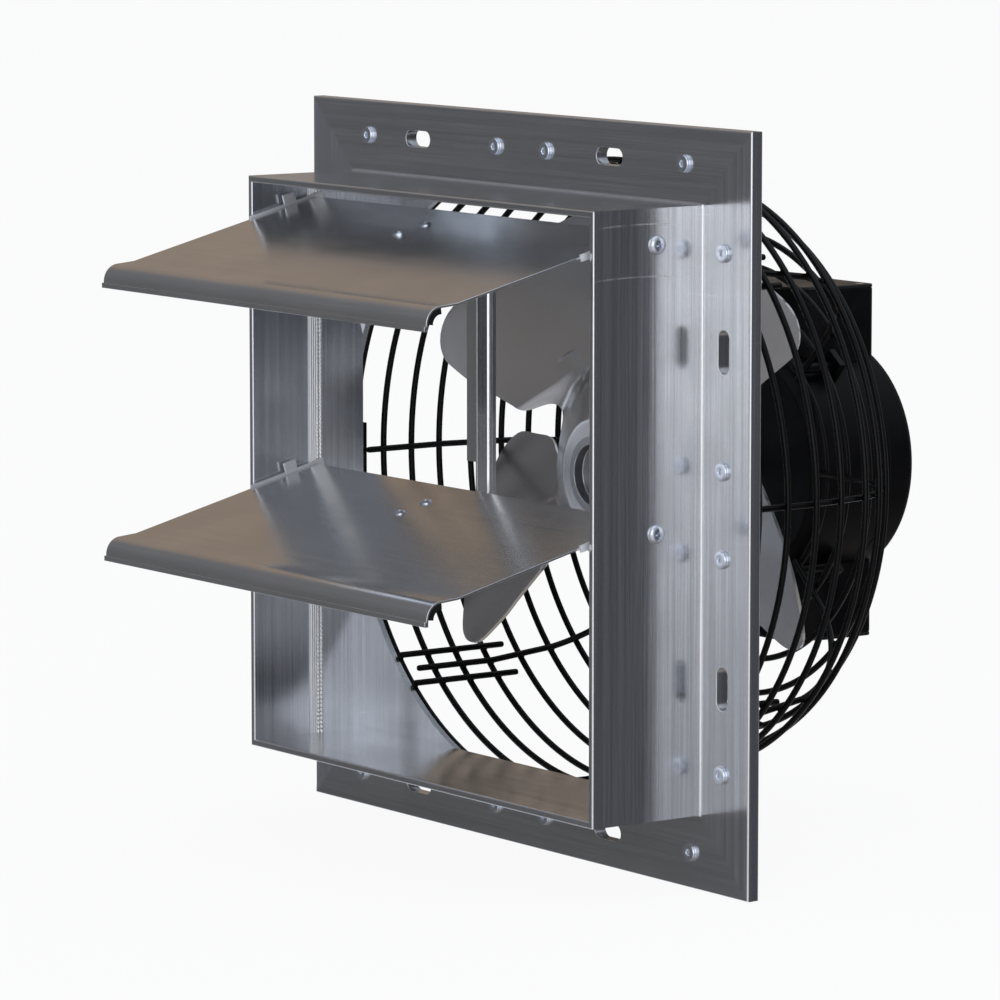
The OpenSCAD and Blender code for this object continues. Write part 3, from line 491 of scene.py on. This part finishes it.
def tie_bead(shape):
    """Bead pressed along the tie bar's flange, in the light edge metal as a painted highlight."""
    face_x, low_z, high_z, taper, end_share = -3.25, -8.0, 129.0, 4.0, 0.05
    section = [(-20.4, 0), (-19.9, 0.35), (-19.2, 0.8), (-18.3, 1.05), (-17.5, 1.0), (-17.0, 0.7),
               (-16.6, 0)]
    rows = []
    for z, share in ((low_z, end_share), (low_z + taper, 1), (high_z - taper, 1), (high_z, end_share)):
        rows.append([shape.verts.new(Vector((face_x + rise * share, y, z)) * MM) for y, rise in section])
    before = set(shape.faces)
    skin(shape, rows)
    for face in set(shape.faces) - before:
        face.material_index = 1
        face.smooth = True


def louvre_pieces():
    for which in ("top", "bottom"):
        softened("louvre_" + which, "louvre", "louvre_edge", 0.25, sharp=60)
        softened("tie_bracket_" + which, "louvre", "louvre_edge", 0.25)
        softened("pivot_ears_" + which, "ear", "ear", 0.25)
    softened("tie_bar", "tie", "painted_highlight_edge", 0.8, segments=3, rule=tie_edge, added=tie_bead)
    for side in (-1, 1):
        pivot_strip(side)


def pivot_strip(side):
    """Pressed strip on a side wall: five rounded flutes, the rear two with fine teeth."""
    node = "pivot_strip_left" if side < 0 else "pivot_strip_right"
    low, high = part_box(node)
    wall = low.x if side < 0 else high.x
    thick = high.x - low.x
    front, back = low.y, high.y
    width = back - front
    # Each flute's start and end as shares of the width, from the front to the back
    flutes = [(0.02, 0.17), (0.17, 0.32), (0.32, 0.47), (0.50, 0.74), (0.74, 0.98)]
    valley = 0.35
    toothed_from, toothed_to, tooth_depth = 0.5, 0.99, 0.22
    pitch, pitch_steps = 0.0024, 4
    section = [(0, 0)]
    for begin, finish in flutes:
        for turn in (-0.9, -0.7, -0.35, 0, 0.35, 0.7, 0.9):
            rise = valley + (1 - valley) * math.sqrt(1 - turn * turn)
            section.append(((begin + finish) / 2 + turn * (finish - begin) / 2, rise))
    section.append((1, 0))
    count = int((high.z - low.z) / (pitch / pitch_steps))
    shape = bmesh.new()
    rows = []
    for i in range(count + 1):
        z = low.z + (high.z - low.z) * i / count
        tooth = 0.0 if i % pitch_steps < pitch_steps / 2 else -tooth_depth
        row = []
        for share, rise in section:
            if toothed_from < share < toothed_to:
                rise += tooth
            row.append(shape.verts.new((wall - side * thick * rise, front + width * share, z)))
        rows.append(row)
    filled(shape, rows)
    drawn_piece(shape, node, "_pressed", "strip", 60)


def motor_pieces():
    for node in ("motor_casing", "motor_end_cap", "capacitor_box", "wiring_box"):
        softened(node, "motor", "motor", 0.6)
    for node in ("capacitor_box_lid", "wiring_box_lid"):
        softened(node, "lid", "lid", 0.5)
    for node in ("motor_posts", "motor_lugs"):
        softened(node, "guard", "guard", 0.4)
    softened("cable_gland", "gland", "gland", 0.5)
    softened("fan_hub", "hub", "painted_highlight_edge", 0.3)


def plain_nodes():
    """Nodes whose own shape is right get their material only."""
    looks = {
        "zinc_steel": "zinc", "bright_steel": "bright", "seal_rubber": "seal", "guard_black": "guard",
        "motor_black": "motor", "hub_steel": "hub", "core_steel": "core", "capacitor_can": "can",
        "gland_plastic": "gland", "fan_aluminium": "fan", "louvre_aluminium": "louvre",
        "mill_aluminium": "mill_across",
    }
    for name, node in NODES.items():
        material = materials[looks[SLOT_OF[name]]]
        if not node.material_slots:
            node.data.materials.append(material)
        for slot in node.material_slots:
            slot.material = material


# Fan wheel: one pressed sheet. Its numbers are millimetres and follow the source

BORE_R = 19.05
DISH_IN_R = 30
DISH_R = 48
DISH_Y = 50.9
DISH_RISE = 10
GULLET_END_R = 61
TWIST_START_R = 48.2
TWIST_END_R = 70
BLADE_R = 152.6
BLADE_Y = 68.2
BLADE_PITCH = math.radians(27.3)
BLADE_COUNT = 5
BLADE_FIRST = 130.9
BLADE_T = 1.8
TIP_CORNER_R = 22
# Each row holds a share of the radius and the blade's reach ahead of and behind its centre line
BLADE_SHARES = [
    (0.250, 0.111, 0.111), (0.377, 0.111, 0.111), (0.426, 0.131, 0.124), (0.486, 0.212, 0.175),
    (0.550, 0.246, 0.230), (0.600, 0.269, 0.275), (0.655, 0.294, 0.308), (0.735, 0.334, 0.338),
    (0.870, 0.382, 0.388), (1.000, 0.423, 0.432),
]


def clamped(value):
    return max(0.0, min(1.0, value))


def eased(value, start, end):
    """Smooth step from 0 at start to 1 at end."""
    share = clamped((value - start) / (end - start))
    return share * share * (3 - 2 * share)


def blade_reach(radius, column):
    """Reach of a blade from its centre line at a radius, with the tip's corner rounded."""
    share = radius / BLADE_R
    rows = BLADE_SHARES
    last = len(rows) - 1
    i = max(k for k in range(last) if k == 0 or rows[k][0] <= share)
    step = clamped((share - rows[i][0]) / (rows[i + 1][0] - rows[i][0]))

    def slope(k):
        near, far = rows[max(k - 1, 0)], rows[min(k + 1, last)]
        return (far[column] - near[column]) / (far[0] - near[0])

    width = rows[i + 1][0] - rows[i][0]
    rise = (rows[i][column] * (1 + 2 * step) * (1 - step) ** 2
            + rows[i + 1][column] * step ** 2 * (3 - 2 * step)
            + width * slope(i) * step * (1 - step) ** 2
            - width * slope(i + 1) * step ** 2 * (1 - step))
    past = max(0.0, radius - BLADE_R + TIP_CORNER_R)
    return BLADE_R * rise - (TIP_CORNER_R - math.sqrt(max(0.0, TIP_CORNER_R ** 2 - past ** 2)))


def edge_angle(radius, column):
    """Angle from the blade's centre line to its edge, or to its share of the disc inside the rim."""
    half_sector = math.pi / BLADE_COUNT
    if radius <= DISH_R:
        return half_sector
    if radius < GULLET_END_R:
        gap = half_sector - math.asin(blade_reach(GULLET_END_R, column) / GULLET_END_R)
        depth = (GULLET_END_R - radius) / (GULLET_END_R - DISH_R)
        return half_sector - gap * math.sqrt(1 - depth * depth)
    return math.asin(blade_reach(radius, column) / radius)


def rib_relief(along, across):
    """Height of the crease pressed into a blade's root: a crisp step that fades away from its line."""
    height = 1.0
    step_start, step_end = -6.2, -5.0
    fade_start, fade_end = -4.0, 9
    outer_start, outer_end = 78.2, 79.8
    inner_start, inner_end = 47, 54
    radius = math.hypot(along, across)
    crisp = eased(across, step_start, step_end)
    soft = 1 - eased(across, fade_start, fade_end)
    outer = 1 - eased(radius, outer_start, outer_end)
    inner = eased(along, inner_start, inner_end)
    return height * crisp * soft * outer * inner


def sheet_depth(along, across):
    """Depth of the sheet's middle behind the flange's face."""
    radius = math.hypot(along, across)
    dish = DISH_Y + DISH_RISE * clamped((radius - DISH_IN_R) / (DISH_R - DISH_IN_R))
    if radius > DISH_R:
        dish = DISH_Y + DISH_RISE * (radius - DISH_IN_R) / (DISH_R - DISH_IN_R)
    twist = eased(along, TWIST_START_R, TWIST_END_R)
    blade = BLADE_Y - across * math.tan(BLADE_PITCH)
    return (1 - twist) * dish + twist * blade - rib_relief(along, across)


def wheel_radii():
    """Radii of the sheet's rows, closer at the dish's bends, round the gullets and at the tips."""
    disc = [BORE_R, 22, 25, 27.5, 29, 30, 31, 32.5, 35, 38, 41, 44, 46.5]
    gullet_steps, root_steps, blade_steps, tip_steps = 9, 26, 12, 9
    gullet = [GULLET_END_R - (GULLET_END_R - DISH_R) * math.cos(math.pi / 2 * i / gullet_steps)
              for i in range(gullet_steps)]
    root_end, tip_start = 81, BLADE_R - TIP_CORNER_R
    root = [GULLET_END_R + (root_end - GULLET_END_R) * i / root_steps for i in range(root_steps)]
    blade = [root_end + (tip_start - root_end) * i / blade_steps for i in range(blade_steps)]
    tip = [tip_start + TIP_CORNER_R * math.sin(math.pi / 2 * i / tip_steps)
           for i in range(tip_steps + 1)]
    return disc + gullet + root + blade + tip


def fan_wheel():
    columns = 44
    shape = bmesh.new()
    for k in range(BLADE_COUNT):
        turn = math.radians(BLADE_FIRST + 360 * k / BLADE_COUNT)
        rows = []
        for radius in wheel_radii():
            rear, front = -edge_angle(radius, 2), edge_angle(radius, 1)
            row = []
            for j in range(columns + 1):
                angle = rear + (front - rear) * j / columns
                depth = sheet_depth(radius * math.cos(angle), radius * math.sin(angle))
                place = (radius * math.cos(turn + angle), depth, radius * math.sin(turn + angle))
                row.append(shape.verts.new(Vector(place) * MM))
            rows.append(row)
        skin(shape, rows)
    bmesh.ops.remove_doubles(shape, verts=shape.verts, dist=0.02 * MM)
    mesh = finished_mesh("fan_wheel_pressed", shape, 60)
    piece = new_piece("fan_wheel_pressed", mesh, ["fan", "painted_highlight_edge"], "fan",
                      ["fan_wheel"])
    thicken = piece.modifiers.new("sheet", "SOLIDIFY")
    thicken.thickness = BLADE_T * MM
    thicken.offset = 0
    # The sheet's cut rim gets the light edge metal as a painted highlight
    thicken.material_offset_rim = 1
    rim = piece.modifiers.new("rim", "BEVEL")
    rim.width = 0.35 * MM
    rim.segments = 2
    rim.angle_limit = math.radians(60)
    even_normals(piece)


# Guard. Its numbers are millimetres and follow the source

WIRE_R = 1.75
GUARD_R = 172.0
FIRST_RING_Y = 9.0
STRAIGHT_LEN = 58
TAPER_LEN = 39
TAPER_IN = 7
BACK_Y = 154.4
INNER_RING_R = 72.0
RIB_IN = 3.55
RIB_START_Y = 14.9
RIB_COUNT = 8
BEND_START = math.radians(18)
BEND_RING_ANGLES = (31, 45, 64, 80)
TAPER_START_Y = FIRST_RING_Y + STRAIGHT_LEN
TAPER_END_R = GUARD_R - TAPER_IN
TAPER_END_Y = TAPER_START_Y + TAPER_LEN
BEND_R = (BACK_Y - TAPER_END_Y) / (1 - math.sin(BEND_START))
BEND_CENTRE_R = TAPER_END_R - BEND_R * math.cos(BEND_START)
BEND_CENTRE_Y = TAPER_END_Y - BEND_R * math.sin(BEND_START)


def on_bend(angle, radius):
    """Radius and depth of a point on the guard's bend."""
    return BEND_CENTRE_R + radius * math.cos(angle), BEND_CENTRE_Y + radius * math.sin(angle)


def ring_places():
    """Radius and depth of every ring, from the flange to the back."""
    straight_rings, taper_rings, back_share = 4, 2, 0.3
    rings = [(GUARD_R, FIRST_RING_Y + STRAIGHT_LEN * i / (straight_rings - 1))
             for i in range(straight_rings)]
    rings += [(GUARD_R - TAPER_IN * i / taper_rings, TAPER_START_Y + TAPER_LEN * i / taper_rings)
              for i in range(1, taper_rings + 1)]
    rings += [on_bend(math.radians(a), BEND_R) for a in BEND_RING_ANGLES]
    rings.append((BEND_CENTRE_R - (BEND_CENTRE_R - INNER_RING_R) * back_share, BACK_Y))
    rings.append((INNER_RING_R, BACK_Y))
    return rings


def rib_path():
    """Radius and depth of the points along a lengthwise wire."""
    bend_steps = 22
    radius = GUARD_R - RIB_IN
    taper_turn = math.atan(TAPER_IN / TAPER_LEN)
    path = [(radius, RIB_START_Y), (radius, TAPER_START_Y - RIB_IN * math.tan(taper_turn / 2))]
    for i in range(bend_steps + 1):
        path.append(on_bend(BEND_START + (math.pi / 2 - BEND_START) * i / bend_steps, BEND_R - RIB_IN))
    path.append((INNER_RING_R - WIRE_R, BACK_Y - RIB_IN))
    return path


def weld(shape, middle, across):
    """Small bead of weld between two crossing wires."""
    half, girth, steps = 1.5, 1.75, 6
    end_share, swell = 0.62, 0.38
    profile = []
    for i in range(steps + 1):
        angle = math.pi * i / steps
        profile.append((girth * (end_share + swell * math.sin(angle)), -half * math.cos(angle)))
    lathe(shape, profile, middle, across, sides=10)


def outward(radius, depth):
    """Direction in radius and depth that points out of the guard at a ring."""
    if depth <= TAPER_END_Y:
        return Vector((1, 0))
    if radius < BEND_CENTRE_R:
        return Vector((0, 1))
    return Vector((radius - BEND_CENTRE_R, depth - BEND_CENTRE_Y)).normalized()


def guard_ribs():
    """The eight lengthwise wires, with a small weld where each crosses a ring."""
    shape = bmesh.new()
    back = Vector((0, 1, 0))
    for i in range(RIB_COUNT):
        turn = 2 * math.pi * i / RIB_COUNT
        out = Vector((math.cos(turn), 0, math.sin(turn)))
        tube(shape, [out * r + back * y for r, y in rib_path()], WIRE_R, out.cross(back))
        for radius, depth in ring_places()[1:]:
            lean = outward(radius, depth)
            middle = out * (radius - lean[0] * RIB_IN / 2) + back * (depth - lean[1] * RIB_IN / 2)
            weld(shape, middle, out * lean[0] + back * lean[1])
    drawn_piece(shape, "guard_ribs", "_welded", "guard", 60)


def guard_stiffeners():
    """Pairs of short wires across the first rings at the corners."""
    start_y, middle_y, length, offset, crossed_rings = 7.25, 43, 71.5, 10, 4
    places_y = (start_y, middle_y, PLATE_STACK + length)
    radius = math.sqrt((GUARD_R - RIB_IN) ** 2 - offset ** 2)
    back = Vector((0, 1, 0))
    shape = bmesh.new()
    for corner in range(4):
        turn = math.radians(45 + 90 * corner)
        out = Vector((math.cos(turn), 0, math.sin(turn)))
        aside = out.cross(back)
        for side in (-offset, offset):
            base = out * radius + aside * side
            tube(shape, [base + back * y for y in places_y], WIRE_R, aside)
            for _radius, depth in ring_places()[:crossed_rings]:
                weld(shape, out * (radius + RIB_IN / 2) + aside * side + back * depth, out)
    drawn_piece(shape, "guard_stiffeners", "_welded", "guard", 60)


def guard_rings():
    """The rings as smooth closed wires."""
    steps = 168
    shape = bmesh.new()
    for radius, depth in ring_places():
        points = []
        for i in range(steps):
            angle = 2 * math.pi * i / steps
            points.append((radius * math.cos(angle), depth, radius * math.sin(angle)))
        tube(shape, points, WIRE_R, (0, 1, 0), looped=True)
    drawn_piece(shape, "guard_rings", "_smooth", "guard", 60)


# Rivets and screws. Their places follow the source

TOP_ROW = 180.8
SIDE_ROW = 177.6
PLATE_STACK = 7.2
CLIP_T = 2.0


def rivet(shape, place, grip):
    """Blind rivet: a flat flange, a raised head round the broken mandrel, and the bulb behind."""
    head = [(0.01, 1.0), (1.1, 0.95), (1.3, 0.7), (1.6, 0.8), (1.75, 1.8), (2.0, 2.1), (3.8, 2.25),
            (4.4, 2.1), (4.7, 1.7), (4.7, 1.2), (4.4, 1.0), (4.4, 0.85), (4.9, 0.75), (5.05, 0.55),
            (5.05, 0.1), (4.95, 0)]
    bulb = [(2.4, 0), (2.4, -grip), (3.2, -grip - 0.3), (3.6, -grip - 1.1), (3.4, -grip - 2.0),
            (2.4, -grip - 2.4), (1.2, -grip - 2.4)]
    lathe(shape, head + bulb, place, (0, -1, 0))


def corner_rivets():
    top_x, bottom_x, side_z = 144.4, 152.0, 136.3
    places = [(s * top_x, TOP_ROW) for s in (-1, 1)] + [(s * bottom_x, -TOP_ROW) for s in (-1, 1)]
    places += [(s * SIDE_ROW, t * side_z) for s in (-1, 1) for t in (-1, 1)]
    rivet_set("corner_rivets", places, PLATE_STACK)


def clip_rivets():
    half_span = 23
    places = [(s * half_span, t * TOP_ROW) for s in (-1, 1) for t in (-1, 1)]
    places += [(s * SIDE_ROW, t * half_span) for s in (-1, 1) for t in (-1, 1)]
    rivet_set("clip_rivets", places, PLATE_STACK + CLIP_T)


def rivet_set(node, places, grip):
    shape = bmesh.new()
    for x, z in places:
        rivet(shape, (x, 0, z), grip)
    drawn_piece(shape, node, "_set", "zinc", 35)


LOUVRE_DROOP = math.radians(14.2)
PIVOT_Y = -30.0
PIVOT_Z = {"top": 141.0, "bottom": -9.0}
SHEET_TOP = 6.4


def on_sheet(which, x, along, above):
    """Point on a louvre: x across it, along it towards the lip, and above its pivot."""
    y = PIVOT_Y - along * math.cos(LOUVRE_DROOP) - above * math.sin(LOUVRE_DROOP)
    z = PIVOT_Z[which] - along * math.sin(LOUVRE_DROOP) + above * math.cos(LOUVRE_DROOP)
    return x, y, z


def bracket_rivets(which):
    """Two small blind rivets through a louvre and its bracket."""
    aside, places_along = -12, (23.8, 41.5)
    shape = bmesh.new()
    up = (0, -math.sin(LOUVRE_DROOP), math.cos(LOUVRE_DROOP))
    profile = [(0.01, 0.4), (0.8, 0.4), (1.0, 1.1), (1.3, 1.5), (2.2, 1.55), (2.8, 1.3), (3.1, 0.85),
               (3.5, 0.6), (3.6, 0.35), (3.6, 0.02), (1.6, 0), (1.6, -2.4), (2.6, -2.4), (2.6, -3.5),
               (0.01, -3.6)]
    for along in places_along:
        lathe(shape, profile, on_sheet(which, aside, along, SHEET_TOP), up, sides=24)
    drawn_piece(shape, "bracket_rivets_" + which, "_set", "zinc", 35)


def pivot_screws():
    """Pan-head screws with a cross recess, which the louvres turn on."""
    wall, reach, recess_turn = 160.0, 7.8, 12
    head = [(0.01, 2.6), (2.1, 2.55), (3.5, 2.3), (4.4, 1.8), (4.95, 1.1), (5.1, 0.45), (5.05, 0.02)]
    shank = [(2.0, 0), (2.0, -reach + 0.6), (1.5, -reach)]
    shape = bmesh.new()
    cross = bmesh.new()
    for side in (-1, 1):
        for z in PIVOT_Z.values():
            lathe(shape, head + shank, (side * wall, PIVOT_Y, z), (side, 0, 0), sides=32)
            for turn in (recess_turn, recess_turn + 90):
                recess_arm(cross, Vector((side * wall, PIVOT_Y, z)), side, math.radians(turn))
    piece = drawn_piece(shape, "pivot_screws", "_set", "zinc", 35)
    cut_out(piece, finished_mesh("cross_recess", cross))


def recess_arm(shape, base, side, turn):
    """One tapered arm of a cross recess, long at the head's face and short at its bottom."""
    half_length, half_width = 2.5, 0.55
    bottom, bottom_share = 0.9, 0.55
    top, top_share = 3.2, 1.15
    corners = [(-1, -1), (1, -1), (1, 1), (-1, 1)]
    rows = []
    for height, share in ((bottom, bottom_share), (top, top_share)):
        row = []
        for a, b in corners:
            along, aside = a * half_length * share, b * half_width * share
            y = along * math.cos(turn) - aside * math.sin(turn)
            z = along * math.sin(turn) + aside * math.cos(turn)
            row.append(shape.verts.new((base + Vector((side * height, y, z))) * MM))
        rows.append(row)
    filled(shape, rows)


def cut_out(piece, mesh):
    """Takes a mesh's space out of a piece for good."""
    cutter = bpy.data.objects.new(mesh.name, mesh)
    bpy.context.scene.collection.objects.link(cutter)
    cut = piece.modifiers.new("cut", "BOOLEAN")
    cut.operation = "DIFFERENCE"
    cut.solver = "EXACT"
    cut.use_self = True
    cut.object = cutter
    result = piece.evaluated_get(bpy.context.evaluated_depsgraph_get())
    made = bpy.data.meshes.new_from_object(result)
    piece.modifiers.remove(cut)
    piece.data = made
    smooth(made, 35)
    bpy.data.objects.remove(cutter)


plain_nodes()
frame_pieces()
louvre_pieces()
motor_pieces()
fan_wheel()
guard_rings()
guard_ribs()
guard_stiffeners()
corner_rivets()
clip_rivets()
pivot_screws()
for louvre in ("top", "bottom"):
    bracket_rivets(louvre)


# Light, floor and camera

# What the studio shows the metal: from below, at the horizon and from above
STUDIO_LOW = (0.28, 0.25, 0.22)
STUDIO_LEVEL = (0.37, 0.37, 0.39)
STUDIO_HIGH = (0.48, 0.53, 0.60)
# Soft cards in it: direction, spread in degrees and colour, the later ones in front
STUDIO_CARDS = [
    ((0.80, -0.58, -0.25), 58, (0.64, 0.65, 0.69)),
    ((-0.80, 0.58, 0.05), 50, (0.21, 0.21, 0.225)),
    ((-0.80, -0.15, 0.58), 40, (0.16, 0.16, 0.17)),
    ((-0.80, 0.42, 0.42), 32, (0.30, 0.235, 0.18)),
    ((-0.78, 0.45, -0.43), 32, (0.90, 1.02, 1.20)),
    ((-0.80, -0.58, -0.13), 52, (0.112, 0.112, 0.116)),
    ((0.80, 0.58, -0.13), 46, (0.056, 0.058, 0.068)),
]


class Studio(NodeTree):
    """The world's nodes. The camera and glass see plain white; metal sees it with soft cards in it."""

    def __init__(self):
        world = bpy.data.worlds.new("studio")
        bpy.context.scene.world = world
        super().__init__(world)
        self.tree.nodes.clear()

    def toward(self, direction, place, spread):
        """Share from 0 to 1 of how near a direction lies to a place, within a spread."""
        dot = self.node("ShaderNodeVectorMath", {0: direction, 1: Vector(place).normalized()},
                        operation="DOT_PRODUCT").outputs["Value"]
        return self.node("ShaderNodeMapRange", {0: dot, 1: math.cos(math.radians(spread)), 2: 1.0},
                         interpolation_type="SMOOTHSTEP").outputs[0]

    def build(self):
        direction = self.node("ShaderNodeTexCoord", {}).outputs["Generated"]
        shown = self.blend(self.toward(direction, (0, 0, 1), 90), STUDIO_LEVEL, STUDIO_HIGH)
        shown = self.blend(self.toward(direction, (0, 0, -1), 90), shown, STUDIO_LOW)
        for place, spread, color in STUDIO_CARDS:
            shown = self.blend(self.toward(direction, place, spread), shown, color)
        path = self.node("ShaderNodeLightPath", {})
        plain = self.node("ShaderNodeMath", {0: path.outputs["Is Camera Ray"],
                                             1: path.outputs["Is Transmission Ray"]},
                          operation="MAXIMUM").outputs[0]
        color = self.blend(plain, shown, (1.0, 1.0, 1.0))
        background = self.node("ShaderNodeBackground", {0: color})
        self.node("ShaderNodeOutputWorld", {0: background.outputs[0]})


def floor():
    """Pale floor that shows white to the camera and keeps a faint shadow."""
    size, drop, glow_share, glow_strength = 30.0, 0.0005, 0.9, 1.03
    low = cad_bounds[0][2] - drop
    mesh = bpy.data.meshes.new("floor")
    corners = [(-size, -size, low), (size, -size, low), (size, size, low), (-size, size, low)]
    mesh.from_pydata(corners, [], [(0, 1, 2, 3)])
    plane = bpy.data.objects.new("floor", mesh)
    bpy.context.scene.collection.objects.link(plane)
    material = bpy.data.materials.new("pale_floor")
    nodes = NodeTree(material)
    nodes.tree.nodes.clear()
    path = nodes.node("ShaderNodeLightPath", {}).outputs
    pale = nodes.node("ShaderNodeBsdfDiffuse", {0: (0.8, 0.79, 0.78, 1)}).outputs[0]
    glow = nodes.node("ShaderNodeEmission", {1: glow_strength}).outputs[0]
    clear = nodes.node("ShaderNodeBsdfTransparent", {}).outputs[0]
    seen = nodes.node("ShaderNodeMath", {0: path["Is Camera Ray"], 1: glow_share},
                      operation="MULTIPLY").outputs[0]
    lit = nodes.node("ShaderNodeMixShader", {0: seen, 1: pale, 2: glow}).outputs[0]
    through = nodes.node("ShaderNodeMixShader", {0: path["Is Glossy Ray"], 1: lit, 2: clear}).outputs[0]
    nodes.node("ShaderNodeOutputMaterial", {0: through})
    mesh.materials.append(material)


def lamp(name, place, aim, size, power, color):
    """Square soft light at a place, turned towards a point."""
    light = bpy.data.lights.new(name, "AREA")
    light.shape = "RECTANGLE"
    light.size, light.size_y = size
    light.energy = power
    light.color = color
    holder = bpy.data.objects.new(name, light)
    bpy.context.scene.collection.objects.link(holder)
    holder.location = place
    holder.rotation_euler = (Vector(aim) - Vector(place)).to_track_quat("-Z", "Y").to_euler()


def lights():
    """One large soft box beside the camera and a weak one above."""
    lamp("front_right", (2.9, -2.3, 0.95), (0, 0, 0), (3.2, 3.0), 26, (0.96, 0.98, 1))
    lamp("above", (0.2, -0.6, 2.6), (0, 0, 0), (3.0, 3.0), 10, (0.93, 0.96, 1))


def camera():
    """Camera at the place worked out from the flange's and the box's corners."""
    azimuth, elevation = math.radians(54.17), math.radians(7.29)
    distance, right_shift, up_shift = 3.1264, -0.0114, -0.0100
    back = Vector((math.sin(azimuth) * math.cos(elevation),
                   -math.cos(azimuth) * math.cos(elevation), math.sin(elevation)))
    right = Vector((math.cos(azimuth), math.sin(azimuth), 0))
    up = back.cross(right)
    target = right * right_shift + up * up_shift
    lens = bpy.data.cameras.new("camera")
    lens.lens = 207.4
    lens.sensor_width = 36
    lens.clip_end = 100
    holder = bpy.data.objects.new("camera", lens)
    bpy.context.scene.collection.objects.link(holder)
    holder.matrix_world = Matrix.Translation(target + back * distance) @ Matrix(
        (right, up, back)).transposed().to_4x4()
    bpy.context.scene.camera = holder


Studio().build()
floor()
lights()
camera()
bpy.context.scene.view_settings.view_transform = "Standard"
